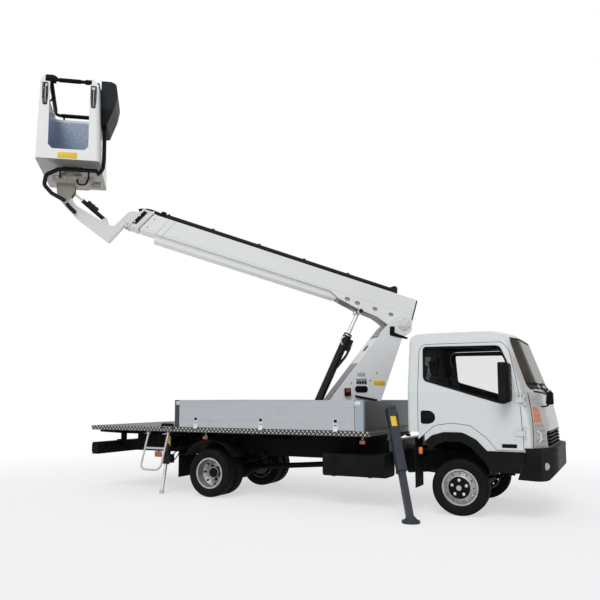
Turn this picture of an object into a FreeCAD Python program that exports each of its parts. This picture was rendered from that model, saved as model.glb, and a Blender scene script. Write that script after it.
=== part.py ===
# Cherry picker truck: a light cab-over lorry with a telescopic boom and a basket.
# Built in truck coordinates: X forward from the front axle, Y to the left, Z up from the
# ground, in millimetres. At the end everything is moved so that the origin is the middle
# of the underside of the whole machine.
import FreeCAD
import Part
import math
import os


def vec(x, y, z):
    return FreeCAD.Vector(x, y, z)


x_axis = vec(1, 0, 0)
y_axis = vec(0, 1, 0)
z_axis = vec(0, 0, 1)
sides = (("left", 1), ("right", -1))

# Running gear
running_gap = 0.3
wheelbase = 3400
tyre_radius = 325
tyre_width = 195
rim_seat_radius = 196
rim_flange_radius = 209
rim_half_width = 78
disc_offset = 112
disc_thickness = 8
front_wheel_y = 775
twin_mid_y = 722
kingpin_y = 640
axle_z = tyre_radius
rear_axle_x = -wheelbase

# Chassis rails and the boom's sub-frame on them
rail_inner_y = 335
rail_outer_y = 400
rail_low_z = 550
rail_top_z = 710
rail_front_x = 860
rail_rear_x = rear_axle_x - 1680
subframe_top_z = 880
plate = 8

# Load floor and drop boards
floor_front_x = -1046
floor_rear_x = rear_axle_x - 2066
floor_half_width = 981
floor_top_z = 943
floor_low_z = 880
board_front_x = -1241
board_rear_x = rear_axle_x - 462
board_height = 380
board_thickness = 28
board_gap = 6
post_rear_x = board_rear_x - 78
post_width = 70
post_front_x = -1123

# Slewing column; its outline is measured outward along the boom from the slew axis
slew_x = -1881
slew_angle = 37.7
pedestal_top_z = 965
ring_top_z = 1005
slew_gap = 5
column_low_z = ring_top_z + slew_gap
column_half_width = 210
ear_inner_y = 160
pivot_back = 937
pivot_z = 2394
lift_base_out = 370
lift_base_z = 1085
lift_eye_s = 643
lift_eye_t = 2

# Boom; s runs along it from its pivot and t square to it, upward
boom_lift = 15.9
outer_half_width = 149
outer_low_t = 150
outer_top_t = 403
outer_wall = 8
boom_rear_s = -110
middle_rear_s = 420
inner_rear_s = 560
level_pin = (4930, 270)
level_base = (4345, 150)
level_eye = (4870, 385)

# Basket
basket_u = 3655
basket_half_v = 625
basket_mid_v = -150
turn_u = 3660
basket_height = 1013
basket_half_low = 395
basket_half_top = 364
basket_wall = 28

# Cab
cab_back_x = -590
cab_wall = 40
door_gap = 6
door_pin_x = 741
door_pin_y = 942


def box(x0, x1, y0, y1, z0, z1):
    return Part.makeBox(x1 - x0, y1 - y0, z1 - z0, vec(x0, y0, z0))


# A closed outline of points (a, b) or (a, b, corner radius), drawn in the XY plane
def outline(points):
    corners = []
    count = len(points)
    for i, point in enumerate(points):
        here = vec(point[0], point[1], 0)
        radius = point[2] if len(point) > 2 else 0
        if radius == 0:
            corners.append((here, here, None))
            continue
        back = (vec(*points[i - 1][:2], 0) - here).normalize()
        ahead = (vec(*points[(i + 1) % count][:2], 0) - here).normalize()
        half = back.getAngle(ahead) / 2
        reach = radius / math.tan(half)
        middle = here + (back + ahead).normalize() * (radius / math.sin(half) - radius)
        corners.append((here + back * reach, here + ahead * reach, middle))
    edges = []
    for i, (start, end, middle) in enumerate(corners):
        if middle:
            edges.append(Part.Arc(start, middle, end).toShape())
        following = corners[(i + 1) % count][0]
        if end.distanceToPoint(following) > 0.001:
            edges.append(Part.makeLine(end, following))
    return Part.Wire(edges)


# Turns the XY plane so that a drawing lies square to one axis: (a, b) are (y, z) for x,
# (x, z) for y and (x, y) for z
facing = {
    "x": FreeCAD.Rotation(y_axis, z_axis, x_axis, "XYZ"),
    "y": FreeCAD.Rotation(x_axis, z_axis, vec(0, -1, 0), "XYZ"),
    "z": FreeCAD.Rotation(),
}
along_axis = {"x": x_axis, "y": y_axis, "z": z_axis}


def prism(points, axis, start, end):
    face = Part.Face(outline(points))
    direction = along_axis[axis]
    face.Placement = FreeCAD.Placement(direction * start, facing[axis])
    return face.extrude(direction * (end - start))


# Turns a closed outline of (distance along the axis, radius) about a line parallel to Y
def turned(points, centre):
    face = Part.Face(outline(points))
    face.Placement = FreeCAD.Placement(centre, FreeCAD.Rotation(y_axis, z_axis, x_axis, "XYZ"))
    return face.revolve(centre, y_axis, 360)


def rod(start, end, radius):
    reach = end - start
    return Part.makeCylinder(radius, reach.Length, start, reach)


# A round bar across the machine, half its length to each side of a centre
def cross_rod(centre, half_length, radius):
    return rod(centre - y_axis * half_length, centre + y_axis * half_length, radius)


def pipe(start, end, radius, bore):
    return rod(start, end, radius).cut(rod(start, end, bore))


# A round bar along straight runs joined by tangent arcs
def bent_bar(points, radius, bend):
    edges = []
    start = points[0]
    for i in range(1, len(points) - 1):
        here = points[i]
        back = (points[i - 1] - here).normalize()
        ahead = (points[i + 1] - here).normalize()
        half = back.getAngle(ahead) / 2
        reach = bend / math.tan(half)
        middle = here + (back + ahead).normalize() * (bend / math.sin(half) - bend)
        edges.append(Part.makeLine(start, here + back * reach))
        edges.append(Part.Arc(here + back * reach, middle, here + ahead * reach).toShape())
        start = here + ahead * reach
    edges.append(Part.makeLine(start, points[-1]))
    path = Part.Wire(edges)
    first = points[1] - points[0]
    section = Part.Wire(Part.makeCircle(radius, points[0], first))
    return path.makePipeShell([section], True, True)


def fuse(shapes):
    shapes = list(shapes)
    return shapes[0].multiFuse(shapes[1:]).removeSplitter()


def mirrored(shape):
    return shape.mirror(vec(0, 0, 0), y_axis)


def on_side(shape, side):
    return shape if side > 0 else mirrored(shape)


# A square-cornered bar from start to end: a plain solid whose width lies square to the
# vertical plane through it
def square_bar(start, end, width, depth):
    ahead = (end - start).normalize()
    across = ahead.cross(z_axis).normalize()
    third = ahead.cross(across)
    bar = Part.makeBox(width, depth, (end - start).Length, vec(-width / 2, -depth / 2, 0))
    bar.Placement = FreeCAD.Placement(start, FreeCAD.Rotation(across, third, ahead, "ZXY"))
    return bar


# A hinge in three rings on one pin: the middle ring for the moving piece, the outer two
# and the pin for the piece that holds it
def hinge(centre, along, ring_radius, ring_length):
    half = along * (ring_length / 2)
    pin = ring_radius * 0.5
    middle = pipe(centre - half, centre + half, ring_radius, pin + running_gap)
    held = [rod(centre - half * 2, centre + half * 2, pin)]
    for side in (1, -1):
        near = centre + (half + along * running_gap) * side
        held.append(rod(near, near + half * side, ring_radius))
    return middle, fuse(held)


pieces = {}

# Wheels
# Tyre and rim outlines are (distance outward from the wheel's middle, radius)
tyre_half = tyre_width / 2
tyre_outline = [
    (-rim_half_width + 4, rim_seat_radius),
    (-rim_half_width + 4, rim_flange_radius + 1),
    (-rim_half_width - 4, rim_flange_radius + 1),
    (-tyre_half, 240, 16),
    (-tyre_half, 288, 26),
    (-82, tyre_radius, 16),
    (82, tyre_radius, 16),
    (tyre_half, 288, 26),
    (tyre_half, 240, 16),
    (rim_half_width + 4, rim_flange_radius + 1),
    (rim_half_width - 4, rim_flange_radius + 1),
    (rim_half_width - 4, rim_seat_radius),
]
rim_outline = [
    (-rim_half_width, rim_flange_radius),
    (-rim_half_width + 4, rim_flange_radius),
    (-rim_half_width + 4, rim_seat_radius),
    (rim_half_width - 4, rim_seat_radius),
    (rim_half_width - 4, rim_flange_radius),
    (rim_half_width, rim_flange_radius),
    (rim_half_width, 190),
    (58, 186),
    (disc_offset, 128, 14),
    (disc_offset, 30),
    (disc_offset - disc_thickness, 30),
    (disc_offset - disc_thickness, 122, 8),
    (46, 182),
    (-rim_half_width, 188),
]
hub_bore = 27
hand_hole_circle = 160
stub_radius = hub_bore - running_gap


def flipped(points):
    return [(-point[0],) + tuple(point[1:]) for point in points]


def tyre(centre):
    return turned(tyre_outline, centre)


# Hand holes stand in a ring through the slope of the wheel's disc
def rim(centre, dish, hole_count, hole_radius):
    body = turned(rim_outline if dish > 0 else flipped(rim_outline), centre)
    for i in range(hole_count):
        angle = 2 * math.pi * i / hole_count
        place = centre + vec(math.cos(angle), 0, math.sin(angle)) * hand_hole_circle
        body = body.cut(rod(place, place + y_axis * (dish * 140), hole_radius))
    return body


front_hub_in = 712
front_hub_out = front_wheel_y + disc_offset - disc_thickness
front_centre = vec(0, front_wheel_y, axle_z)
front_tyre = tyre(front_centre)
drum = rod(vec(0, front_hub_in, axle_z), vec(0, front_hub_in + 60, axle_z), 145)
front_boss = rod(vec(0, front_hub_in, axle_z), vec(0, front_hub_out, axle_z), 62)
front_cap = rod(vec(0, front_hub_out, axle_z), vec(0, front_hub_out + 30, axle_z), 30)
front_bore = rod(vec(0, front_hub_in - 1, axle_z), vec(0, front_hub_out - 20, axle_z), hub_bore)
front_rim = fuse([rim(front_centre, 1, 12, 9), drum, front_boss, front_cap]).cut(front_bore)

outer_twin = vec(rear_axle_x, twin_mid_y + disc_offset, axle_z)
inner_twin = vec(rear_axle_x, twin_mid_y - disc_offset, axle_z)
twin_tyres = tyre(outer_twin).fuse(tyre(inner_twin))
rear_hub_in = 520
rear_drum = rod(vec(rear_axle_x, rear_hub_in, axle_z), vec(rear_axle_x, 660, axle_z), 150)
rear_boss = rod(vec(rear_axle_x, rear_hub_in, axle_z), vec(rear_axle_x, 800, axle_z), 75)
rear_bore = rod(vec(rear_axle_x, rear_hub_in - 1, axle_z), vec(rear_axle_x, 760, axle_z), hub_bore)
twin_discs = [rim(outer_twin, -1, 8, 16), rim(inner_twin, 1, 8, 16)]
twin_rims = fuse(twin_discs + [rear_drum, rear_boss]).cut(rear_bore)

for name, side in sides:
    pieces["front_tyre_" + name] = on_side(front_tyre, side)
    pieces["front_rim_" + name] = on_side(front_rim, side)
    pieces["rear_tyres_" + name] = on_side(twin_tyres, side)
    pieces["rear_rims_" + name] = on_side(twin_rims, side)

# Front axle: a beam with a round eye at each end, between the arms of the knuckle
eye_radius = 32
eye_low_z = 285
eye_top_z = 365
pin_radius = 14
arm_thickness = 24
pin_gap = running_gap
beam = box(-35, 35, -620, 620, 295, 355)
axle_eyes = [
    rod(vec(0, s * kingpin_y, eye_low_z), vec(0, s * kingpin_y, eye_top_z), eye_radius)
    for s in (1, -1)
]
eye_bores = [
    rod(vec(0, s * kingpin_y, eye_low_z - 1), vec(0, s * kingpin_y, eye_top_z + 1),
        pin_radius + pin_gap)
    for s in (1, -1)
]
pieces["front_axle"] = fuse([beam] + axle_eyes).cut(eye_bores[0]).cut(eye_bores[1])

knuckle_low_z = eye_low_z - pin_gap - arm_thickness
knuckle_top_z = eye_top_z + pin_gap + arm_thickness
knuckle_top = box(-30, 30, kingpin_y - 30, 700, knuckle_top_z - arm_thickness, knuckle_top_z)
knuckle_low = box(-30, 30, kingpin_y - 30, 700, knuckle_low_z, knuckle_low_z + arm_thickness)
knuckle_web = box(-30, 30, 680, 704, knuckle_low_z, knuckle_top_z)
kingpin = rod(vec(0, kingpin_y, eye_low_z - 20), vec(0, kingpin_y, eye_top_z + 20), pin_radius)
stub = rod(vec(0, 690, axle_z), vec(0, front_hub_out - 25, axle_z), stub_radius)
steering_arm = prism([(-30, 610), (-30, 660), (-170, 610, 10), (-170, 580, 10)], "z",
                     knuckle_low_z, knuckle_low_z + arm_thickness)
knuckle = fuse([knuckle_top, knuckle_low, knuckle_web, kingpin, stub, steering_arm])
for name, side in sides:
    pieces["knuckle_" + name] = on_side(knuckle, side)

# Rear axle: a tube with the final drive in its middle
axle_tube = rod(vec(rear_axle_x, -515, axle_z), vec(rear_axle_x, 515, axle_z), 52)
final_drive = Part.makeSphere(150, vec(rear_axle_x, 0, axle_z))
drive_nose = rod(vec(rear_axle_x, 0, axle_z), vec(rear_axle_x + 240, 0, axle_z + 20), 60)
stub_shaft = rod(vec(rear_axle_x, -755, axle_z), vec(rear_axle_x, 755, axle_z), stub_radius)
pieces["rear_axle"] = fuse([axle_tube, final_drive, drive_nose, stub_shaft])

# Leaf springs: each shorter leaf lies under the one above and has the same bend
leaf_thickness = 12
leaf_count = 4


def leaf_spring(x, y0, y1, reach, seat_z, hang_z):
    stack = []
    for i in range(leaf_count):
        drop = leaf_thickness * i
        low_z = seat_z + leaf_thickness * (leaf_count - 1) - drop
        high_z = hang_z - drop
        strip = prism([
            (x - reach, high_z), (x, low_z, reach * 2), (x + reach, high_z),
            (x + reach, high_z + leaf_thickness), (x, low_z + leaf_thickness, reach * 2),
            (x - reach, high_z + leaf_thickness)], "y", y0, y1)
        half = reach * (1 - 0.22 * i)
        stack.append(strip.common(box(x - half, x + half, y0, y1, 0, 1000)))
    return fuse(stack)


def sprung(axle, x, y_mid, reach, seat_z, hang_z):
    parts = [axle]
    for s in (1, -1):
        y0, y1 = y_mid - 30, y_mid + 30
        leaves = leaf_spring(x, y0, y1, reach, seat_z, hang_z)
        bracket_y = min(y0, rail_outer_y)
        brackets = [box(x + e * reach - 25, x + e * reach + 25, bracket_y, y1, hang_z, rail_low_z + 60)
                    for e in (1, -1)]
        pad = box(x - 45, x + 45, y0 - 5, y1 + 5, seat_z - 15, seat_z + 30)
        parts.append(on_side(fuse([leaves, pad] + brackets), s))
    both = fuse(parts)
    for s in (1, -1):
        rail_space = box(rail_rear_x, rail_front_x, rail_inner_y, rail_outer_y, rail_low_z, rail_top_z)
        both = both.cut(on_side(rail_space, s))
    return both


pieces["front_axle"] = sprung(pieces["front_axle"], 0, 367, 520, 355, 440)
pieces["rear_axle"] = sprung(pieces["rear_axle"], rear_axle_x, 455, 600, 377, 500)

# Chassis: two channel rails and cross members
channel = [
    (rail_inner_y, rail_low_z), (rail_outer_y, rail_low_z), (rail_outer_y, rail_top_z),
    (rail_inner_y, rail_top_z), (rail_inner_y, rail_top_z - plate),
    (rail_outer_y - plate, rail_top_z - plate), (rail_outer_y - plate, rail_low_z + plate),
    (rail_inner_y, rail_low_z + plate),
]
rail = prism(channel, "x", rail_rear_x, rail_front_x)
members = []
for x in (rail_rear_x + 20, rear_axle_x - 900, rear_axle_x + 550, -2150, -1000, 800):
    members.append(box(x - 30, x + 30, -rail_outer_y + plate, rail_outer_y - plate,
                       rail_low_z + plate, rail_top_z - plate))
pieces["chassis_frame"] = fuse([rail, mirrored(rail)] + members)

# Sub-frame: box bearers on the rails, cross bearers under the floor and the boom's base
bearers = [box(rail_rear_x + 20, -800, y - 35, y + 35, rail_top_z, 800) for y in (367, -367)]
bearer_xs = (rear_axle_x - 1900, rear_axle_x - 1300, rear_axle_x - 580, rear_axle_x + 200, slew_x - 819)
cross_bearers = []
for x in bearer_xs:
    half = floor_half_width - 40
    cross_bearers.append(prism([(-half, 850), (-420, 800), (420, 800), (half, 850), (half, subframe_top_z),
                                (-half, subframe_top_z)], "x", x - 30, x + 30))
base_box = box(slew_x - 470, slew_x + 470, -470, 470, rail_top_z, subframe_top_z)
front_bearer = prism([(-940, 850), (-420, 800), (420, 800), (940, 850), (940, subframe_top_z),
                      (-940, subframe_top_z)], "x", -1160, -1100)
tail_bearers = [box(floor_rear_x + 136, rail_rear_x + 80, y - 35, y + 35, rail_top_z + 90, subframe_top_z)
                for y in (367, -367)]
pieces["subframe"] = fuse(bearers + cross_bearers + [base_box, front_bearer] + tail_bearers)

# Slew base through the floor, with the toothed ring on it
pedestal = rod(vec(slew_x, 0, subframe_top_z), vec(slew_x, 0, pedestal_top_z), 400)
pedestal = pedestal.cut(rod(vec(slew_x, 0, subframe_top_z), vec(slew_x, 0, pedestal_top_z), 300))
ring = rod(vec(slew_x, 0, pedestal_top_z), vec(slew_x, 0, ring_top_z), 410)
ring = ring.cut(rod(vec(slew_x, 0, pedestal_top_z), vec(slew_x, 0, ring_top_z), 300))
pieces["subframe"] = fuse([pieces["subframe"], pedestal, ring])

# Load floor: one plate with a folded chequer edge and a round hole for the slew base
floor_hole_radius = 430
deck = box(floor_rear_x, floor_front_x, -floor_half_width, floor_half_width, floor_low_z, floor_top_z)
hole = rod(vec(slew_x, 0, floor_low_z - 10), vec(slew_x, 0, floor_top_z + 10), floor_hole_radius)
floor_plate = box(floor_rear_x + 6, floor_front_x - 6, -floor_half_width + 6, floor_half_width - 6,
                  floor_top_z - 26, floor_top_z).cut(hole)
floor_rim = deck.cut(box(floor_rear_x + 6, floor_front_x - 6, -floor_half_width + 6,
                         floor_half_width - 6, floor_low_z, floor_top_z))
floor_joists = []
for x in bearer_xs + (-1130,):
    floor_joists.append(box(x - 30, x + 30, -floor_half_width + 6, floor_half_width - 6,
                            floor_low_z, floor_top_z - 26))
for y in (367, -367):
    floor_joists.append(box(floor_rear_x + 6, slew_x - 460, y - 30, y + 30, floor_low_z, floor_top_z - 26))

# Hinges of the drop boards: along the floor's sides and across it behind the cargo space
side_hinge_y = 992
side_hinge_z = 941
rear_hinge_x = post_rear_x - 5
rear_hinge_z = 957
hinge_ring = 10
hinge_length = 60
floor_hinges = []
side_straps = []
board_length = board_front_x - board_rear_x
for share in (0.1065, 0.498, 0.904):
    x = board_rear_x + board_length * share
    moving, held = hinge(vec(x, side_hinge_y, side_hinge_z), x_axis, hinge_ring, hinge_length)
    lugs = [box(x + e * 46 - 12, x + e * 46 + 12, floor_half_width - 4, side_hinge_y, side_hinge_z - 8,
                side_hinge_z) for e in (1, -1)]
    held = fuse([held] + lugs)
    floor_hinges += [held, mirrored(held)]
    strap = box(x - 30, x + 30, floor_half_width - 4, floor_half_width + 4, side_hinge_z + 4, 1040)
    pin_space = rod(vec(x - 31, side_hinge_y, side_hinge_z), vec(x + 31, side_hinge_y, side_hinge_z), 6)
    strap = strap.cut(pin_space)
    side_straps.append(fuse([moving, strap]))
rear_straps = []
for y in (-640, 0, 640):
    moving, held = hinge(vec(rear_hinge_x, y, rear_hinge_z), y_axis, hinge_ring, hinge_length)
    feet = [box(rear_hinge_x - 8, rear_hinge_x + 8, y + e * 46 - 12, y + e * 46 + 12, floor_top_z - 4,
                rear_hinge_z - 6) for e in (1, -1)]
    floor_hinges.append(fuse([held] + feet))
    strap = box(rear_hinge_x + 6, rear_hinge_x + 15, y - 30, y + 30, rear_hinge_z - 6, 1040)
    pin_space = rod(vec(rear_hinge_x, y - 31, rear_hinge_z), vec(rear_hinge_x, y + 31, rear_hinge_z), 6)
    strap = strap.cut(pin_space)
    rear_straps.append(fuse([moving, strap]))

# Pin blocks of the access ladder below the floor's right edge
ladder_x0 = rear_axle_x - 1025
ladder_x1 = rear_axle_x - 677
ladder_top = (-938, 858)
ladder_low = (-1118, 352)
ladder_rings = []
for x in (ladder_x0, ladder_x1):
    moving, held = hinge(vec(x, *ladder_top), x_axis, 18, 40)
    ladder_rings.append(moving)
    hangers = [box(x + e * 31 - 9, x + e * 31 + 9, ladder_top[0] - 14, ladder_top[0] + 14, ladder_top[1],
                   floor_top_z - 20) for e in (1, -1)]
    floor_hinges.append(fuse([held] + hangers))
side_lamp_xs = (rear_axle_x - 33, -1144)
lamp_brackets = [box(x - 12, x + 12, 944, 950, 792, floor_top_z - 20) for x in side_lamp_xs]
lamp_brackets += [mirrored(bracket) for bracket in lamp_brackets]
pieces["load_floor"] = fuse([floor_plate, floor_rim] + floor_joists + floor_hinges + lamp_brackets)

# Corner posts and headboard
board_top_z = floor_top_z + board_height
posts = []
for s in (1, -1):
    y0, y1 = sorted((s * (floor_half_width - 60), s * floor_half_width))
    rear_post = box(post_rear_x, post_rear_x + post_width, y0, y1, floor_top_z, board_top_z)
    front_post = box(board_front_x + board_gap, post_front_x, y0, y1, floor_top_z, board_top_z)
    posts.append((rear_post, front_post))
headboard = box(post_front_x - 40, post_front_x, -(floor_half_width - 60), floor_half_width - 60,
                floor_top_z, board_top_z - 10)
headboard = fuse([headboard, posts[0][1], posts[1][1]])
pieces["bed_posts"] = Part.makeCompound([headboard, posts[0][0], posts[1][0]])

# Drop boards: hollow aluminium profile, two side boards and a rear one
def drop_board(length, height, thickness):
    skin = box(0, length, 0, thickness, 0, height)
    ribs = [box(-1, length + 1, 2, thickness - 2, z + 3, z + height / 4 - 3)
            for z in (0, height / 4, height / 2, height * 3 / 4)]
    for rib in ribs:
        skin = skin.cut(rib)
    return skin


board_low_z = floor_top_z + board_gap
side_board = drop_board(board_front_x - board_rear_x, board_height - board_gap, board_thickness)
side_board.translate(vec(board_rear_x, floor_half_width - board_thickness, board_low_z))
side_board = fuse([side_board] + side_straps)
pieces["side_board_left"] = side_board
pieces["side_board_right"] = mirrored(side_board)
rear_board_half = floor_half_width - 60 - board_gap
rear_board = drop_board(2 * rear_board_half, board_height - board_gap, board_thickness)
rear_board.rotate(vec(0, 0, 0), z_axis, 90)
rear_board.translate(vec(post_rear_x + board_thickness + 8, -rear_board_half, board_low_z))
pieces["rear_board"] = fuse([rear_board] + rear_straps)

# Tail: lamp beam below the floor's rear end, its hangers and the lamps
tail_x = floor_rear_x - 24
tail_beam = box(tail_x, tail_x + 110, -930, 930, 515, 690)
tail_hangers = [box(tail_x + 10, rail_rear_x + 20, y - 30, y + 30, 600, 705) for y in (367, -367)]
tail_tops = [box(tail_x + 90, tail_x + 160, y - 30, y + 30, 690, subframe_top_z) for y in (367, -367)]
tail = fuse([tail_beam] + tail_hangers + tail_tops)
pieces["tail_beam"] = tail.cut(pieces["chassis_frame"]).cut(pieces["subframe"])
lamp_boxes = []
for s in (1, -1):
    y0, y1 = sorted((s * 620, s * 900))
    lamp_boxes.append(box(tail_x - 30, tail_x, y0, y1, 545, 660))
for s in (1, -1):
    for x in side_lamp_xs:
        y0, y1 = sorted((s * 950, s * 972))
        lamp_boxes.append(box(x - 35, x + 35, y0, y1, 790, 830))

# Rear mudguards with flaps
guard_radius = 455
guard_inner_y = 500
guard_outer_y = 930
guard_start = vec(rear_axle_x, guard_inner_y, axle_z)
guard_finish = vec(rear_axle_x, guard_outer_y, axle_z)
guard_ring = rod(guard_start, guard_finish, guard_radius)
guard_ring = guard_ring.cut(rod(guard_start, guard_finish, guard_radius - 8))
guard_ring = guard_ring.common(box(rear_axle_x - 500, rear_axle_x + 500, 0, 1000, axle_z + 230, 900))
flap = box(rear_axle_x - 500, rear_axle_x - 490, guard_inner_y, guard_outer_y, 250, 640)
flap_bridge = box(rear_axle_x - 490, rear_axle_x - 380, guard_inner_y, guard_outer_y, 555, 563)
guard = fuse([guard_ring, flap, flap_bridge])
guard = guard.fuse(box(rear_axle_x + 170, rear_axle_x + 230, 560, 620, axle_z + 395, 860))
guard = guard.cut(pieces["subframe"])
guards = [guard, mirrored(guard)]


# Engine block between the rails, gearbox, propeller shaft and exhaust
engine_front_x = 230
engine_rear_x = -420
engine = box(engine_rear_x, engine_front_x, -250, 250, 420, 925)
engine_feet = [box(-300, -220, y - 75, y + 75, rail_low_z + plate, 640) for y in (315, -315)]
block = fuse([engine] + engine_feet).cut(pieces["front_axle"])
block = block.cut(pieces["chassis_frame"])
gearbox = rod(vec(engine_rear_x, 0, 560), vec(-860, 0, 520), 150)
shaft = rod(vec(-860, 0, 520), vec(rear_axle_x + 240, 0, axle_z + 20), 38)
drive = fuse([block, gearbox, shaft]).cut(pieces["chassis_frame"])
pieces["engine_and_drive"] = drive.cut(pieces["rear_axle"]).cut(pieces["front_axle"])
silencer = rod(vec(-1900, 560, 520), vec(-1300, 560, 520), 105)
exhaust_pipe = bent_bar([vec(-1300, 560, 520), vec(-1000, 560, 520), vec(-900, 470, 520),
                         vec(-700, 470, 520)], 28, 80)
hanger = box(-1640, -1600, 400, 560, 600, 640)
pieces["exhaust"] = fuse([silencer, exhaust_pipe, hanger]).cut(pieces["chassis_frame"])

# Fuel tank on the right, battery box on the left
tank_front_x = -900
tank_rear_x = -1720
tank_outline = [(-870, 375, 50), (-470, 375, 50), (-470, 655, 30), (-870, 655, 30)]
tank = prism(tank_outline, "x", tank_rear_x, tank_front_x)
straps = []
for x in (-1585, -1104):
    strap = [(-876, 369, 54), (-464, 369, 54), (-464, 661, 34), (-876, 661, 34)]
    band = prism(strap, "x", x - 20, x + 20)
    arm = box(x - 20, x + 20, -470, -rail_outer_y, 560, 640)
    straps.append(band.fuse(arm))
pieces["fuel_tank"] = fuse([tank] + straps)

# Cab: plan sections from the waist to the crown of the roof. Each has the height, the
# rear, the outer corner (x, half width), the nose (x, half width) and the inset at the back
cab_sections = (
    (750, cab_back_x, 815, 930, 985, 610),
    (1050, cab_back_x, 800, 930, 962, 600),
    (1420, cab_back_x, 725, 922, 882, 560),
    (2030, cab_back_x, 545, 812, 665, 520),
    (2090, cab_back_x + 12, 475, 778, 595, 480),
    (2130, cab_back_x + 55, 385, 705, 490, 420),
    (2148, cab_back_x + 160, 250, 590, 340, 330),
)


def cab_section(z, back, corner_x, half, nose_x, nose_half, inset):
    half = half - inset
    corner_x = corner_x - inset
    nose_x = nose_x - inset
    back = back + inset
    wire = outline([
        (back, -half, 45), (corner_x, -half, 85), (nose_x, -nose_half, 420), (nose_x, nose_half, 420),
        (corner_x, half, 85), (back, half, 45),
    ])
    wire.translate(vec(0, 0, z))
    return wire


def cab_solid(inset):
    wires = []
    for z, back, corner_x, half, nose_x, nose_half in cab_sections:
        height = z - inset if z > 2030 else z
        wires.append(cab_section(height, back, corner_x, half, nose_x, nose_half, inset))
    return Part.makeLoft(wires, True, True)


cab_outer = cab_solid(0)
cab_skin = cab_outer.cut(cab_solid(cab_wall))

# Lower edge of the cab's white side: rear wedge, wheel arch, then level to the nose
side_low = [
    (-700, 700), (-700, 954), (-590, 954), (-375, 850), (-300, 915, 60), (-160, 958, 120),
    (60, 958, 160), (215, 880, 120), (330, 757, 20), (330, 700),
]
arch_space = [prism(side_low, "y", s * 1000, s * 300) for s in (1, -1)]
back_low = box(-700, -380, -1000, 1000, 700, 954)

# Cab floor: level over the engine, stepping down to the foot well
floor_line = [
    (-550, 958), (250, 958), (380, 772), (860, 772), (860, 800), (395, 800), (265, 990), (-550, 990),
]
cab_floor = prism(floor_line, "y", -885, 885)
cab_body = fuse([cab_skin.cut(back_low), cab_floor.common(cab_outer)])
for space in arch_space:
    cab_body = cab_body.cut(space)

# Door and window outlines, seen from the side
door_outline = [
    (-455, 870), (-455, 1990, 90), (505, 1990, 70), (583, 1890, 60), (690, 1400, 900),
    (728, 772), (440, 772), (330, 905, 100), (150, 1040, 120), (-60, 1066, 120), (-260, 1035, 120),
]
side_window = [(-412, 1962, 35), (478, 1950, 45), (570, 1752, 300), (608, 1400, 200), (560, 1282, 60),
               (470, 1296, 60), (-395, 1560, 40)]
windscreen = [(-782, 1452, 60), (782, 1452, 60), (725, 2050, 70), (-725, 2050, 70)]
rear_window = [(-560, 1500, 60), (560, 1500, 60), (540, 1900, 60), (-540, 1900, 60)]
lamp_outline = [
    (868, 757, 12), (853, 1078, 200), (805, 1257, 12), (692, 1227, 12), (712, 1094, 120), (679, 975, 60),
    (681, 757, 12),
]
grille_half = 664
grille_outline = [(-grille_half, 803, 20), (grille_half, 803, 20), (grille_half - 3, 982, 40),
                  (-grille_half + 3, 982, 40)]

door_face = Part.Face(outline(door_outline))
door_hole_face = Part.Face(outline(door_outline).makeOffset2D(door_gap))


def side_prism(face, start, end):
    copy = face.copy()
    copy.Placement = FreeCAD.Placement(vec(0, start, 0), facing["y"])
    return copy.extrude(vec(0, end - start, 0))


door_zone = side_prism(door_face, 640, 1000)
door_hole = side_prism(door_hole_face, 640, 1000)
window_hole = prism(side_window, "y", 640, 1000)
screen_hole = prism(windscreen, "x", 350, 1100)
rear_hole = prism(rear_window, "x", -700, -500)
lamp_hole = prism(lamp_outline, "x", 755, 1100)
grille_hole = prism(grille_outline, "x", 800, 1100)

for hole in (door_hole, mirrored(door_hole), screen_hole, rear_hole, lamp_hole, mirrored(lamp_hole),
             grille_hole):
    cab_body = cab_body.cut(hole)
pieces["cab_shell"] = cab_body

glass_outer = 14
glass_inner = 19
glass_skin = cab_solid(glass_outer).cut(cab_solid(glass_inner))
pieces["cab_glass"] = Part.makeCompound([glass_skin.common(screen_hole), glass_skin.common(rear_hole)])
door = cab_skin.common(door_zone)
door = door.cut(window_hole)
handle_space = prism([(-425, 1055, 20), (-262, 1055, 70), (-262, 1204, 70), (-425, 1204, 20)], "y",
                     915, 1000)
door = door.cut(handle_space)
door_glass = glass_skin.common(window_hole)
door_rings = []
body_rings = []
for z in (960, 1330):
    moving, held = hinge(vec(door_pin_x, door_pin_y, z), z_axis, 8, 60)
    leaf = box(door_pin_x - 75, door_pin_x - 2, door_pin_y - 11, door_pin_y - 3, z - 30, z + 30)
    leaf = leaf.fuse(box(door_pin_x - 95, door_pin_x - 73, door_pin_y - 30, door_pin_y - 3, z - 30, z + 30))
    pin_space = rod(vec(door_pin_x, door_pin_y, z - 31), vec(door_pin_x, door_pin_y, z + 31), 6)
    door_rings.append(fuse([moving, leaf.cut(pin_space)]))
    leaves = []
    for middle in (z + 46, z - 46):
        leaves.append(box(door_pin_x, door_pin_x + 22, door_pin_y - 55, door_pin_y - 2,
                          middle - 14, middle + 14))
    body_rings.append(fuse([held] + leaves))
door = fuse([door] + door_rings)
for ring in body_rings:
    pieces["cab_shell"] = fuse([pieces["cab_shell"], ring, mirrored(ring)])
mirror_arm = box(545, 575, 905, 1010, 1400, 1440)
mirror_case = prism([(950, 1300, 30), (1150, 1300, 30), (1150, 1745, 30), (950, 1745, 30)], "x",
                    505, 590)
door_mirror = fuse([mirror_arm, mirror_case]).cut(door).cut(door_glass)
for name, side in sides:
    pieces["door_" + name] = on_side(door, side)
    pieces["door_glass_" + name] = on_side(door_glass, side)
    pieces["mirror_" + name] = on_side(door_mirror, side)

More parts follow.
